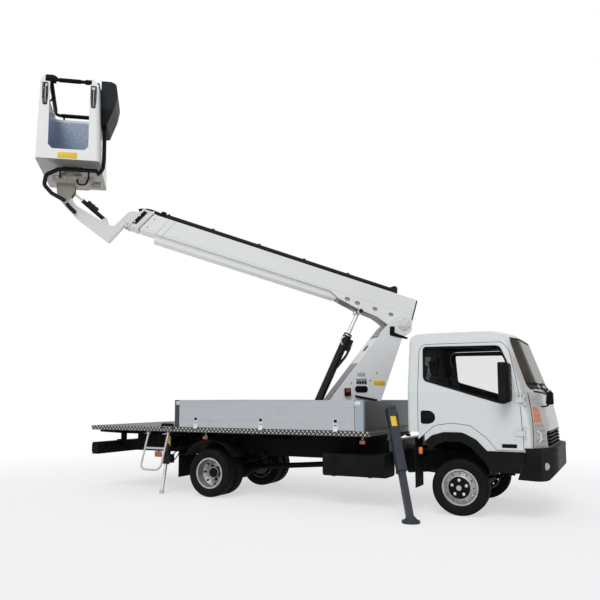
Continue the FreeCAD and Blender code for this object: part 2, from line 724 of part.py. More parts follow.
lamp = cab_skin.common(lamp_hole)
pieces["lamps"] = Part.makeCompound([lamp, mirrored(lamp)] + lamp_boxes)
grille_frame = cab_skin.common(grille_hole)
grille = grille_frame
for z in (820, 858, 896, 934):
    grille = grille.cut(box(700, 1100, -grille_half + 30, grille_half - 30, z, z + 24))
pieces["grille"] = grille

# Black lower trim: arch mouldings, step panels and the bumper
arch_outer = [
    (-375, 850), (-300, 915, 60), (-160, 958, 120), (60, 958, 160), (215, 880, 120), (330, 757, 20),
    (733, 757), (742, 697), (671, 520), (372, 520, 20), (300, 640, 60), (150, 790, 140), (40, 850, 120),
    (-140, 850, 120), (-250, 810, 80), (-320, 730),
]
trim = prism(arch_outer, "y", 872, 936).cut(cab_body).cut(door)
trim = trim.cut(door_hole)
pieces["lower_trim"] = Part.makeCompound([trim, mirrored(trim)])

bumper_plan = [
    (600, -940), (880, -940, 110), (1045, -600, 450), (1045, 600, 450), (880, 940, 110), (600, 940),
]
bumper_side = [(655, 455), (960, 440, 60), (1035, 520, 80), (1088, 640, 60), (1062, 800, 30), (740, 800),
               (748, 695), (680, 530)]
bumper = prism(bumper_plan, "z", 430, 810).common(prism(bumper_side, "y", -1000, 1000))
bumper_inside = [
    (590, -895), (850, -895, 90), (990, -570, 400), (990, 570, 400), (850, 895, 90), (590, 895),
]
bumper = bumper.cut(prism(bumper_inside, "z", 400, 745)).cut(cab_outer)
bumper_mounts = [box(rail_front_x, 1010, y - 30, y + 30, 570, 690) for y in (367, -367)]
pieces["front_bumper"] = fuse([bumper] + bumper_mounts)

# Cab interior
seat_parts = []
for y0, y1 in ((230, 690), (-690, 90)):
    cushion = prism([(-300, 990), (120, 990), (140, 1110, 40), (-330, 1090, 30)], "y", y0, y1)
    back = prism([(-330, 1080), (-210, 1090), (-330, 1640, 40), (-420, 1640, 40)], "y", y0, y1)
    seat_parts.append(fuse([cushion, back]))
for y0, y1 in ((340, 580), (-580, -340)):
    seat_parts.append(prism([(-345, 1630), (-375, 1630), (-440, 1820, 30), (-350, 1820, 30)], "y", y0, y1))
dash_outline = [(470, 990), (760, 990), (815, 1405, 40), (560, 1405, 60), (440, 1270, 40)]
dash = prism(dash_outline, "y", -800, 800).cut(cab_skin).cut(door_hole).cut(mirrored(door_hole))
dash = dash.common(cab_outer)
column = rod(vec(520, 430, 1200), vec(330, 430, 1290), 30)
dash_legs = box(500, 740, -700, 700, 800, 995)
wheel_hub = vec(325, 430, 1292)
steer_axis = vec(190, 0, -90).normalize()
wheel_rim = Part.makeTorus(200, 14, wheel_hub, steer_axis)
spoke_frame = FreeCAD.Rotation(z_axis, steer_axis)
spoke = box(-10, 10, -195, 195, -6, 6)
spoke.Placement = FreeCAD.Placement(wheel_hub, spoke_frame)
wheel_boss = rod(wheel_hub - steer_axis * 20, wheel_hub + steer_axis * 20, 40)
dashboard = fuse([dash, dash_legs, wheel_rim, spoke, wheel_boss, column])
pieces["cab_interior"] = dashboard
pieces["cab_seats"] = fuse(seat_parts)

# Cab mounts: brackets from the rails up to the floor
mount_blocks = []
for x, top in ((-340, 958), (600, 772)):
    for y in (367, -367):
        mount_blocks.append(box(x - 40, x + 40, y - 33, y + 33, rail_top_z, top))
pieces["chassis_frame"] = fuse([pieces["chassis_frame"]] + mount_blocks)

# Front mudflap behind the wheel
front_flap = box(-505, -495, 600, 920, 300, 880)
flap_arm = box(-520, -505, rail_outer_y, 700, 640, 690)
front_guard = fuse([front_flap, flap_arm])
pieces["mudguards"] = Part.makeCompound(guards + [front_guard, mirrored(front_guard)])

# Front outriggers: a slanted square tube on a beam across the rails, and a leg in it
leg_top = vec(-846, 780, 1225)
leg_foot = vec(-391, 1510, 0)
leg_axis = (leg_foot - leg_top).normalize()
tube_width = 104
tube_bore = 86
leg_width = 74
tube_length = 880
leg_start = 430
tube_end = leg_top + leg_axis * tube_length
tube_solid = square_bar(leg_top, tube_end, tube_width, tube_width)
tube_space = square_bar(leg_top + leg_axis * 12, tube_end - leg_axis * 25, tube_bore, tube_bore)
tube_mouth = square_bar(tube_end - leg_axis * 30, tube_end + leg_axis * 5, leg_width + 2 * running_gap,
                        leg_width + 2 * running_gap)
tube_space = tube_space.fuse(tube_mouth)
cross_beam = box(-790, -690, -1010, 1010, rail_top_z + 10, 850)
cross_foot = box(-790, -690, rail_inner_y, rail_outer_y, rail_top_z, rail_top_z + 10)
gusset = prism([(600, 850), (1020, 850), (880, 1060), (800, 1180), (700, 1180)], "x", -815, -775)
tower = fuse([cross_beam, cross_foot, mirrored(cross_foot), gusset, mirrored(gusset)])
tower = tower.cut(cab_outer).cut(pieces["chassis_frame"])
for side in (1, -1):
    tower = tower.cut(on_side(tube_space, side))
tubes = [on_side(tube_solid, s) for s in (1, -1)]
tower = fuse([tower] + tubes)
for side in (1, -1):
    tower = tower.cut(on_side(tube_space, side))
tower = tower.cut(cab_outer)
leg_end = leg_foot - leg_axis * 45
leg_bar = square_bar(leg_top + leg_axis * leg_start, leg_end, leg_width, leg_width)
leg_head = square_bar(leg_top + leg_axis * leg_start, leg_top + leg_axis * (leg_start + 40),
                      tube_bore - 2 * running_gap, tube_bore - 2 * running_gap)
foot_disc = rod(vec(leg_foot.x, leg_foot.y, 0), vec(leg_foot.x, leg_foot.y, 28), 100)
foot_cone = Part.makeCone(80, 40, 45, vec(leg_foot.x, leg_foot.y, 28))
front_leg = fuse([leg_bar, leg_head, foot_disc, foot_cone])
for name, side in sides:
    pieces["front_leg_" + name] = on_side(front_leg, side)

# Rear outriggers: a round barrel splayed outward below the floor, and its rod
jack_x = rear_axle_x - 800
jack_start = 330
jack_top = vec(jack_x, 737, 800)
jack_foot = vec(jack_x, 905, 0)
jack_axis = (jack_foot - jack_top).normalize()
jack_barrel_end = jack_top + jack_axis * 400
barrel = rod(jack_top, jack_barrel_end, 45)
jack_rod_radius = 23
jack_bore = 28
barrel_bore = rod(jack_top + jack_axis * 10, jack_barrel_end - jack_axis * 20, jack_bore)
barrel_bore = barrel_bore.fuse(rod(jack_top, jack_barrel_end + jack_axis * 5, jack_rod_radius + running_gap))
jack_bracket = box(jack_x - 60, jack_x + 60, rail_outer_y, 780, 640, 800)
valve_box = box(jack_x + 40, jack_x + 110, 770, 860, 430, 550)
jack_frame = fuse([barrel, jack_bracket, valve_box]).cut(barrel_bore)
jack_frame = jack_frame.cut(pieces["subframe"])
pieces["outrigger_frames"] = Part.makeCompound([tower, jack_frame, mirrored(jack_frame)])
jack_rod = rod(jack_top + jack_axis * jack_start, jack_foot - jack_axis * 40, jack_rod_radius)
jack_piston = rod(jack_top + jack_axis * jack_start, jack_top + jack_axis * (jack_start + 25),
                  jack_bore - running_gap)
jack_pad = rod(vec(jack_x, jack_foot.y, 0), vec(jack_x, jack_foot.y, 40), 34)
jack_ankle = rod(vec(jack_x, jack_foot.y, 40), vec(jack_x, jack_foot.y - 4, 60), 26)
jack = fuse([jack_rod, jack_piston, jack_pad, jack_ankle])
for name, side in sides:
    pieces["rear_leg_" + name] = on_side(jack, side)

# Access ladder on the right: one bent tube and a step
ladder = bent_bar([
    vec(ladder_x0, *ladder_top), vec(ladder_x0, *ladder_low), vec(ladder_x1, *ladder_low),
    vec(ladder_x1, *ladder_top)], 14, 90)
step_height = 0.42
step_y = ladder_top[0] + (ladder_low[0] - ladder_top[0]) * step_height
step_z = ladder_top[1] + (ladder_low[1] - ladder_top[1]) * step_height
ladder_step = box(ladder_x0, ladder_x1, step_y - 18, step_y + 18, step_z - 12, step_z + 12)
ladder_pins = [rod(vec(x - 21, *ladder_top), vec(x + 21, *ladder_top), 9 + running_gap)
               for x in (ladder_x0, ladder_x1)]
ladder_body = fuse([ladder, ladder_step] + ladder_rings)
for pin in ladder_pins:
    ladder_body = ladder_body.cut(pin)
pieces["ladder"] = ladder_body

# The slewing part is drawn with the boom pointing back along -X, then turned by the slew
# angle. u runs outward along the boom from the slew axis, v to the right of it.
slew_centre = vec(slew_x, 0, 0)
pivot = vec(slew_x + pivot_back, 0, pivot_z)
lift = math.radians(boom_lift)


def column_point(u, v, z):
    return vec(slew_x - u, -v, z)


def column_plate(points, v0, v1):
    turned_points = [(slew_x - p[0],) + tuple(p[1:]) for p in points]
    return prism(turned_points, "y", -v1, -v0)


def boom_point(s, v, t):
    return vec(pivot.x - s, -v, pivot.z + t)


def boom_plate(points, v0, v1):
    placed = [(pivot.x - p[0], pivot.z + p[1]) + tuple(p[2:]) for p in points]
    return prism(placed, "y", -v1, -v0)


def boom_bar(s0, s1, t0, t1, half):
    return boom_plate([(s0, t0), (s1, t0), (s1, t1), (s0, t1)], -half, half)


def lifted(shape):
    shape = shape.copy()
    shape.rotate(pivot, y_axis, boom_lift)
    return shape


def slewed(shape):
    shape = shape.copy()
    shape.rotate(slew_centre, z_axis, slew_angle)
    return shape


def lifted_point(s, t):
    u = -pivot_back + s * math.cos(lift) - t * math.sin(lift)
    z = pivot_z + s * math.sin(lift) + t * math.cos(lift)
    return u, z


# Column: two side sheets that rise into ears, front and rear covers, base plate and the
# lugs for the lift cylinder
front_slope = 0.795
rear_slope = -0.370


def front_u(z):
    return 140 - (z - 1337) * front_slope


def rear_u(z):
    return -585 + (z - 1330) * rear_slope


base_top_z = column_low_z + 20
column_side = [
    (rear_u(base_top_z), base_top_z), (front_u(base_top_z), base_top_z), (front_u(2347), 2347, 30),
    (-830, 2490, 60), (-960, 2534, 60), (-1062, 2440, 60), (-1045, 2285, 60), (rear_u(2190), 2190),
]
ear_side = [
    (front_u(2250), 2250), (front_u(2347), 2347, 30), (-830, 2490, 60), (-960, 2534, 60),
    (-1062, 2440, 60), (-1045, 2285, 60), (rear_u(2250), 2250),
]
sheet = 10
cover_half = column_half_width - sheet
cover_low_z = 1300
cover_top_z = 2200
column_parts = []
for side in (1, -1):
    v0, v1 = sorted((side * cover_half, side * column_half_width))
    column_parts.append(column_plate(column_side, v0, v1))
    v0, v1 = sorted((side * ear_inner_y, side * cover_half))
    column_parts.append(column_plate(ear_side, v0, v1))
front_cover = [
    (front_u(cover_low_z), cover_low_z), (front_u(cover_top_z), cover_top_z),
    (front_u(cover_top_z) - 13, cover_top_z), (front_u(cover_low_z) - 13, cover_low_z),
]
rear_cover = [
    (rear_u(base_top_z), base_top_z), (rear_u(cover_top_z), cover_top_z),
    (rear_u(cover_top_z) + 11, cover_top_z), (rear_u(base_top_z) + 11, base_top_z),
]
top_cover = [
    (rear_u(cover_top_z), cover_top_z), (front_u(cover_top_z), cover_top_z),
    (front_u(cover_top_z), cover_top_z - 10), (rear_u(cover_top_z), cover_top_z - 10),
]
shelf_u = front_u(cover_low_z) - 13
shelf = [(shelf_u, cover_low_z + 8), (shelf_u - 10, cover_low_z + 8), (shelf_u - 10, base_top_z),
         (shelf_u, base_top_z)]
for cover in (front_cover, rear_cover, top_cover, shelf):
    column_parts.append(column_plate(cover, -cover_half, cover_half))
base_disc = rod(vec(slew_x, 0, ring_top_z + running_gap), vec(slew_x, 0, base_top_z), 400)
base_plate = box(slew_x - 440, slew_x + 480, -column_half_width - 20, column_half_width + 20,
                 column_low_z, base_top_z)
lug_outline = [
    (shelf_u, base_top_z), (lift_base_out + 60, base_top_z), (lift_base_out + 78, lift_base_z + 10, 20),
    (lift_base_out + 20, lift_base_z + 75, 40), (shelf_u, lift_base_z + 110),
]
lugs = [column_plate(lug_outline, 62, 80), column_plate(lug_outline, -80, -62)]
lift_pin = cross_rod(column_point(lift_base_out, 0, lift_base_z), 88, 22)
boom_pin = cross_rod(pivot, column_half_width + 12, 32)
column = fuse(column_parts + [base_disc, base_plate, lift_pin, boom_pin] + lugs)
pieces["slewing_column"] = slewed(column)

# Lift cylinder
eye_u, eye_z = lifted_point(lift_eye_s, lift_eye_t)
lift_base = column_point(lift_base_out, 0, lift_base_z)
lift_eye = column_point(eye_u, 0, eye_z)
lift_axis = (lift_eye - lift_base).normalize()
barrel_length = 1290
barrel_radius = 56
rod_radius = 30
rod_gap = 4
barrel_body = rod(lift_base + lift_axis * 52, lift_base + lift_axis * barrel_length, barrel_radius)
barrel_neck = rod(lift_base, lift_base + lift_axis * 60, 40)
barrel_gland = rod(lift_base + lift_axis * (barrel_length - 90), lift_base + lift_axis * barrel_length, 62)
barrel_eye = cross_rod(lift_base, 44, 48)
barrel_space = rod(lift_base + lift_axis * 95, lift_base + lift_axis * (barrel_length - 60),
                   rod_radius + rod_gap)
gland_space = rod(lift_base + lift_axis * (barrel_length - 70), lift_base + lift_axis * (barrel_length + 5),
                  rod_radius + running_gap)
eye_space = cross_rod(lift_base, 60, 22 + running_gap)
valve_side = vec(lift_axis.z, 0, -lift_axis.x)
valve_start = lift_base + lift_axis * (barrel_length - 230) + valve_side * 76
valve = square_bar(valve_start, valve_start + lift_axis * 170, 60, 60)
barrel_parts = fuse([barrel_body, barrel_neck, barrel_gland, barrel_eye, valve])
pieces["lift_barrel"] = slewed(barrel_parts.cut(barrel_space).cut(gland_space).cut(eye_space))
lift_rod = rod(lift_base + lift_axis * 400, lift_eye, rod_radius)
lift_piston = rod(lift_base + lift_axis * 400, lift_base + lift_axis * 440,
                  rod_radius + rod_gap - running_gap)
rod_eye = cross_rod(lift_eye, 40, 46)
rod_hole = cross_rod(lift_eye, 41, 20)
pieces["lift_rod"] = slewed(fuse([lift_rod, lift_piston, rod_eye]).cut(rod_hole))

# Slide pads: a short frame of blocks that fills the space between two box sections
def slide_pads(s0, s1, half, low, top, space, inward):
    reach = space - running_gap
    grow0, grow1 = (-reach, 0) if inward else (0, reach)
    frame = boom_bar(s0, s1, low - grow1, top + grow1, half + grow1)
    hole = boom_bar(s0 - 1, s1 + 1, low - grow0, top + grow0, half + grow0)
    across = boom_bar(s0, s1, low + 30, top - 30, 400)
    upright_part = boom_bar(s0, s1, low - 90, top + 90, half * 0.7)
    return frame.cut(hole).common(across.fuse(upright_part)).Solids


# Outer boom section: welded box with a slanted mouth, belly plates round the pivot and
# the cylinder, the cable tray below and the hose pipes on top
mouth_slant = 0.486


def slanted(s, t):
    return s - (t - outer_low_t) * mouth_slant, t


mouth_s = 3869
outer_box = boom_plate([
    (boom_rear_s, outer_low_t), (mouth_s, outer_low_t), slanted(mouth_s, outer_top_t),
    (boom_rear_s, outer_top_t)], -outer_half_width, outer_half_width)
outer_space = boom_plate([
    (boom_rear_s + outer_wall, outer_low_t + outer_wall), (4200, outer_low_t + outer_wall),
    (4200, outer_top_t - outer_wall), (boom_rear_s + outer_wall, outer_top_t - outer_wall)],
    -outer_half_width + outer_wall, outer_half_width - outer_wall)
belly_outline = [
    (boom_rear_s, outer_low_t), (boom_rear_s, -75), (190, -75, 90), (380, -5, 160), (700, 22, 300),
    (1000, 80, 200), (1150, outer_low_t),
]
belly_hole_width = 76
belly_hole_height = 50
belly_holes = ((205, 86), (453, 92), (721, 96), (876, 107))
belly_thickness = 18
belly_hole_depth = 14
belly = []
belly_holes_cut = []
for side in (1, -1):
    v0, v1 = sorted((side * (outer_half_width - belly_thickness), side * outer_half_width))
    belly.append(boom_plate(belly_outline, v0, v1))
    v0, v1 = sorted((side * (outer_half_width - belly_hole_depth), side * (outer_half_width + 5)))
    for s, t in belly_holes:
        half = belly_hole_width / 2
        tall = belly_hole_height / 2
        belly_holes_cut.append(boom_plate([
            (s - half, t - tall, tall - 1), (s + half, t - tall, tall - 1), (s + half, t + tall, tall - 1),
            (s - half, t + tall, tall - 1)], v0, v1))
rear_plate = boom_plate([(boom_rear_s, outer_low_t), (boom_rear_s, -75), (boom_rear_s + 8, -75),
                         (boom_rear_s + 8, outer_low_t)], -outer_half_width, outer_half_width)
belly_floor = boom_plate([(boom_rear_s, -75), (190, -75), (190, -67), (boom_rear_s, -67)],
                         -outer_half_width, outer_half_width)
pivot_tube = cross_rod(pivot, outer_half_width + 6, 60)
pivot_bore = cross_rod(pivot, outer_half_width + 9, 32 + running_gap)
eye_bosses = []
for side in (1, -1):
    boss_end = boom_point(lift_eye_s, side * outer_half_width, lift_eye_t)
    eye_bosses.append(rod(boom_point(lift_eye_s, side * 90, lift_eye_t), boss_end, 34))
tray = boom_plate([(1010, outer_low_t), (1035, 66), (3655, 66), (3640, outer_low_t)], -118, 118)
boom_body = fuse([outer_box] + belly + [rear_plate, belly_floor, pivot_tube, tray] + eye_bosses)
boom_body = boom_body.cut(outer_space)
for cutter in belly_holes_cut + [pivot_bore]:
    boom_body = boom_body.cut(cutter)
mouth_pads = slide_pads(3610, 3700, outer_half_width - outer_wall, outer_low_t + outer_wall,
                        outer_top_t - outer_wall, 10, True)
boom_body = fuse([boom_body] + mouth_pads)
pieces["boom_outer"] = slewed(lifted(boom_body))
pipe_radius = 28
pipe_t = outer_top_t + pipe_radius + 6
hose_parts = []
for v in (62, 122):
    hose_parts.append(rod(boom_point(290, v, pipe_t), boom_point(3590, v, pipe_t), pipe_radius))
for s in (300, 960, 1620, 2280, 2940, 3560):
    hose_parts.append(boom_plate([(s - 12, outer_top_t), (s + 12, outer_top_t), (s + 12, pipe_t + 34),
                                  (s - 12, pipe_t + 34)], 28, 148))
hose_head = [(190, outer_top_t), (288, outer_top_t), (288, 500, 30), (215, 500, 30)]
hose_parts.append(boom_plate(hose_head, 30, 146))
pieces["boom_hose_pipes"] = slewed(lifted(fuse(hose_parts)))

# Middle section with its head collar
middle_half = outer_half_width - outer_wall - 10
middle_low = outer_low_t + outer_wall + 10
middle_top = outer_top_t - outer_wall - 10
middle_wall = 7
collar_s = 3889
collar_length = 153
collar_top = 430
middle_box = boom_plate([(middle_rear_s, middle_low), (4000, middle_low), (3950, middle_top),
                         (middle_rear_s, middle_top)], -middle_half, middle_half)
collar = boom_plate([
    (collar_s, outer_low_t), (collar_s + collar_length, outer_low_t),
    slanted(collar_s + collar_length, collar_top), slanted(collar_s, collar_top)],
    -outer_half_width + 2, outer_half_width - 2)
middle_space = boom_plate([
    (middle_rear_s - 10, middle_low + middle_wall), (4200, middle_low + middle_wall),
    (4200, middle_top - middle_wall), (middle_rear_s - 10, middle_top - middle_wall)],
    -middle_half + middle_wall, middle_half - middle_wall)
middle_pads = slide_pads(middle_rear_s, middle_rear_s + 90, middle_half, middle_low, middle_top, 10, False)
middle_body = fuse([middle_box, collar]).cut(middle_space)
front_pads = slide_pads(3700, 3790, middle_half - middle_wall, middle_low + middle_wall,
                        middle_top - middle_wall, 10, True)
pieces["boom_middle"] = slewed(lifted(fuse([middle_body] + middle_pads + front_pads)))

# Inner section and the bent arm at its end
inner_half = middle_half - middle_wall - 10
inner_low = middle_low + middle_wall + 10
inner_top = middle_top - middle_wall - 10
inner_box = boom_plate([(inner_rear_s, inner_low), (4078, inner_low), (4010, inner_top),
                        (inner_rear_s, inner_top)], -inner_half, inner_half)
inner_space = boom_plate([
    (inner_rear_s - 10, inner_low + 7), (3980, inner_low + 7), (3980, inner_top - 7),
    (inner_rear_s - 10, inner_top - 7)], -inner_half + 7, inner_half - 7)
arm_half = 55
arm_upright = [(3998, 368), (4083, 350), (4212, 96, 8), (4300, 60), (4215, -128), (4131, 58)]
arm_outline = [
    (4131, 58), (4215, -128, 6), (4712, 60, 200), (4887, 165, 120), (5000, 235, 50), (4975, 340, 55),
    (4885, 330, 55), (4766, 213, 200), (4306, 98), (4212, 96),
]
upright = boom_plate(arm_upright, -75, 75)
arm = boom_plate(arm_outline, -arm_half, arm_half)
level_pin_point = boom_point(level_pin[0], 0, level_pin[1])
arm_bore = cross_rod(level_pin_point, 80, 20 + running_gap)
base_lug_outline = [(4300, 92), (4310, 150, 25), (4345, 178, 25), (4380, 150, 25), (4400, 110)]
base_lugs = [boom_plate(base_lug_outline, 31, 45), boom_plate(base_lug_outline, -45, -31)]
level_base_point = boom_point(level_base[0], 0, level_base[1])
level_base_pin = cross_rod(level_base_point, 48, 10)
inner_body = fuse([inner_box.cut(inner_space), upright, arm, level_base_pin] + base_lugs).cut(arm_bore)
inner_pads = slide_pads(inner_rear_s, inner_rear_s + 90, inner_half, inner_low, inner_top, 10, False)
pieces["boom_inner"] = slewed(lifted(fuse([inner_body] + inner_pads)))

# Levelling cylinder between the bent arm and the basket's carrier
level_eye_point = boom_point(level_eye[0], 0, level_eye[1])
level_axis = (level_eye_point - level_base_point).normalize()
level_length = 405
level_radius = 28
level_rod_radius = 12
level_barrel = rod(level_base_point, level_base_point + level_axis * level_length, level_radius)
level_eye_ring = cross_rod(level_base_point, 26, 27)
level_bore = level_rod_radius + 4
level_space = rod(level_base_point + level_axis * 45, level_base_point + level_axis * 380, level_bore)
level_gland = rod(level_base_point + level_axis * 370, level_base_point + level_axis * 420,
                  level_rod_radius + running_gap)
level_space = level_space.fuse(level_gland)
level_pin_hole = cross_rod(level_base_point, 30, 10 + running_gap)
block_start = level_base_point + level_axis * 150 + vec(0, 0, 42)
valve_block = square_bar(block_start, block_start + level_axis * 170, 40, 40)
level_body = fuse([level_barrel, level_eye_ring, valve_block]).cut(level_space).cut(level_pin_hole)
pieces["level_barrel"] = slewed(lifted(level_body))
level_rod = rod(level_base_point + level_axis * 160, level_eye_point, level_rod_radius)
level_rod_eye = cross_rod(level_eye_point, 22, 18)
level_piston = rod(level_base_point + level_axis * 160, level_base_point + level_axis * 185,
                   level_bore - running_gap)
pieces["level_rod"] = slewed(lifted(fuse([level_rod, level_piston, level_rod_eye])))

# Basket carrier: two cheek plates on the arm's pin, a box over them and the turning drive
pin_u, pin_z = lifted_point(*level_pin)
rod_u, rod_z = lifted_point(*level_eye)
carrier_clear = 75
carrier_height = 98
drive_height = 56
turntable_height = 52
carrier_low_z = rod_z + carrier_clear
carrier_top_z = carrier_low_z + carrier_height
drive_top_z = carrier_top_z + drive_height
basket_low_z = drive_top_z + turntable_height
cheek_outline = [
    (pin_u + 105, carrier_low_z), (pin_u + 95, pin_z + 40, 40), (pin_u + 45, pin_z - 45, 40),
    (pin_u - 45, pin_z - 45, 40), (rod_u - 40, rod_z - 10, 30), (rod_u - 40, carrier_low_z),
]
cheeks = [column_plate(cheek_outline, arm_half + 5, arm_half + 19),
          column_plate(cheek_outline, -arm_half - 19, -arm_half - 5)]
carrier_pin = rod(column_point(pin_u, -arm_half - 26, pin_z), column_point(pin_u, arm_half + 26, pin_z), 20)
rod_stubs = [rod(column_point(rod_u, side * 30, rod_z), column_point(rod_u, side * 70, rod_z), 12)
             for side in (1, -1)]
carrier_box = column_plate([
    (turn_u - 210, carrier_low_z, 40), (turn_u + 220, carrier_low_z, 30), (turn_u + 220, carrier_top_z, 20),
    (turn_u - 310, carrier_top_z, 12), (turn_u - 310, carrier_top_z - 30, 12)], -150, 150)
drive = rod(column_point(turn_u, 0, carrier_top_z), column_point(turn_u, 0, drive_top_z), 140)
motor_z = carrier_top_z - 46
motor = rod(column_point(turn_u - 270, -40, motor_z), column_point(turn_u - 385, -40, motor_z), 42)
pieces["basket_carrier"] = slewed(fuse(cheeks + [carrier_pin, carrier_box, drive, motor] + rod_stubs))


# Basket: a tapered tub with a notched entrance on its right end
def basket_section(z, half_u, inset):
    v0 = basket_mid_v - basket_half_v + inset
    v1 = basket_mid_v + basket_half_v - inset
    u0 = basket_u - half_u + inset
    u1 = basket_u + half_u - inset
    wire = outline([(slew_x - u0, -v0, 45 - inset), (slew_x - u1, -v0, 45 - inset),
                    (slew_x - u1, -v1, 45 - inset), (slew_x - u0, -v1, 45 - inset)])
    wire.translate(vec(0, 0, z))
    return wire


basket_top_z = basket_low_z + basket_height
basket_outer = Part.makeLoft([basket_section(basket_low_z, basket_half_low, 0),
                              basket_section(basket_top_z, basket_half_top, 0)], True, True)
basket_inner = Part.makeLoft([basket_section(basket_low_z + basket_wall, basket_half_low, basket_wall),
                              basket_section(basket_top_z + 1, basket_half_top, basket_wall)], True, True)
near_v = basket_mid_v + basket_half_v
notch_z = basket_low_z + 132
notch = [
    (basket_u - 253, basket_top_z + 10), (basket_u - 253, notch_z + 50, 20),
    (basket_u - 203, notch_z, 20), (basket_u + 192, notch_z, 20),
    (basket_u + 242, notch_z + 50, 20), (basket_u + 242, basket_top_z + 10),
]
entrance = column_plate(notch, near_v - 60, near_v + 10)
turntable_low_z = drive_top_z + running_gap
turntable = rod(column_point(turn_u, 0, turntable_low_z), column_point(turn_u, 0, basket_low_z), 140)
shell = basket_outer.cut(basket_inner).cut(entrance).fuse(turntable)
grip_slot = ((-14, -305, 12), (14, -305, 12), (23, -200, 40), (23, -25, 16), (-23, -25, 16), (-23, -200, 40))
for u in (basket_u - 300, basket_u + 296):
    slot = [(u + p[0], basket_top_z + p[1], p[2]) for p in grip_slot]
    shell = shell.cut(column_plate(slot, near_v - 60, near_v + 10))
ears = [[(362, 0), (318, 85), (300, 85), (300, -20), (362, -20)],
        [(-362, 0), (-300, 78), (-275, 78), (-275, -20), (-362, -20)]]
for ear in ears:
    placed = [(basket_u + u, basket_top_z + z) for u, z in ear]
    shell = shell.fuse(column_plate(placed, near_v - basket_wall, near_v - 4))
pieces["basket_shell"] = slewed(shell)

# Black top rail on three sides, and the bar across the entrance
rail_z = basket_top_z + 62
rail_u0 = basket_u - basket_half_top + 22
rail_u1 = basket_u + basket_half_top - 22
rail_v0 = basket_mid_v - basket_half_v + 22
rail_v1 = near_v - 20
rail_radius = 22
rail_skew = 95
rail_end_v = rail_v1 - 90


def left_rail_u(v):
    return rail_u1 - rail_skew * (v - rail_v0) / (rail_end_v - rail_v0)


top_rail = bent_bar([column_point(rail_u0, rail_end_v, rail_z), column_point(rail_u0, rail_v0, rail_z),
                     column_point(rail_u1, rail_v0, rail_z),
                     column_point(left_rail_u(rail_end_v), rail_end_v, rail_z)], rail_radius, 70)
stand_offs = []
for v in (rail_end_v - 20, basket_mid_v):
    for u, foot_u in ((rail_u0, rail_u0), (left_rail_u(v), rail_u1)):
        stand_offs.append(rod(column_point(foot_u, v, basket_top_z), column_point(u, v, rail_z), 13))
for u in (rail_u0 + 110, rail_u1 - 110):
    stand_offs.append(rod(column_point(u, rail_v0, basket_top_z), column_point(u, rail_v0, rail_z), 13))
below_rim = column_plate([(basket_u - 500, basket_top_z - 100), (basket_u + 500, basket_top_z - 100),
                          (basket_u + 500, basket_top_z), (basket_u - 500, basket_top_z)], -900, 600)
pieces["basket_rail"] = slewed(fuse([top_rail] + stand_offs).cut(below_rim))

# The bar across the entrance hangs on a pin just inside the near wall
bar_pin_u = basket_u + 278
bar_end_u = basket_u - 300
bar_v = near_v - 54
bar_z = basket_top_z + 50
bar_radius = 22
bar = rod(column_point(bar_pin_u - 20, bar_v, bar_z), column_point(bar_end_u, bar_v, bar_z), bar_radius)
knob_shape = [(0, -42), (20, -28), (26, -5), (26, 20), (8, 48, 15), (-55, 48, 15), (-105, 20, 10),
              (-105, -42)]
knob_shape = [(bar_pin_u + p[0], bar_z + p[1]) + tuple(p[2:]) for p in knob_shape]
bar_knob = column_plate(knob_shape, bar_v - 21, bar_v + 21)
bar_pin_radius = 7
bar_pin_hole = rod(column_point(bar_pin_u, bar_v - 30, bar_z), column_point(bar_pin_u, bar_v + 30, bar_z),
                   bar_pin_radius + running_gap)
pieces["entry_bar"] = slewed(bar.fuse(bar_knob).cut(bar_pin_hole))
inner_cheek_v = bar_v - 30
cheek_shape = [(bar_pin_u - 16, basket_top_z - 60), (bar_pin_u + 16, basket_top_z - 60),
               (bar_pin_u + 16, bar_z + 14, 12), (bar_pin_u - 16, bar_z + 14, 12)]
pin_cheek = column_plate(cheek_shape, inner_cheek_v, inner_cheek_v + 4)
cheek_foot = column_plate([(bar_pin_u - 16, basket_top_z - 60), (bar_pin_u + 16, basket_top_z - 60),
                           (bar_pin_u + 16, basket_top_z - 30), (bar_pin_u - 16, basket_top_z - 30)],
                          inner_cheek_v, near_v - 5)
bar_pin = rod(column_point(bar_pin_u, inner_cheek_v + 1, bar_z), column_point(bar_pin_u, bar_v + 24, bar_z),
              bar_pin_radius)
rest_top_z = bar_z - bar_radius - running_gap
rest_shape = [(bar_end_u - 14, basket_top_z - 60), (bar_end_u + 26, basket_top_z - 60),
              (bar_end_u + 26, rest_top_z), (bar_end_u - 14, rest_top_z)]
rest_block = column_plate(rest_shape, bar_v - 14, near_v - 5)
bar_holder = fuse([pin_cheek, cheek_foot, bar_pin, rest_block])
pieces["basket_shell"] = fuse([pieces["basket_shell"], slewed(bar_holder)])

# Control console on the boom's side of the basket
console_outline = [
    (-340, 600), (-402, 588, 20), (-457, 592, 30), (-556, 857, 200), (-585, 1011, 120), (-568, 1160, 50),
    (-500, 1190, 40), (-340, 1190, 10),
]
console_outline = [(basket_u + p[0], basket_low_z + p[1]) + tuple(p[2:]) for p in console_outline]
console = column_plate(console_outline, -330, 230).cut(basket_outer)
rail_space = [(basket_u - 372, basket_top_z), (basket_u - 200, basket_top_z),
              (basket_u - 200, basket_top_z + 200), (basket_u - 372, basket_top_z + 200)]
console = console.cut(column_plate(rail_space, -500, 500))

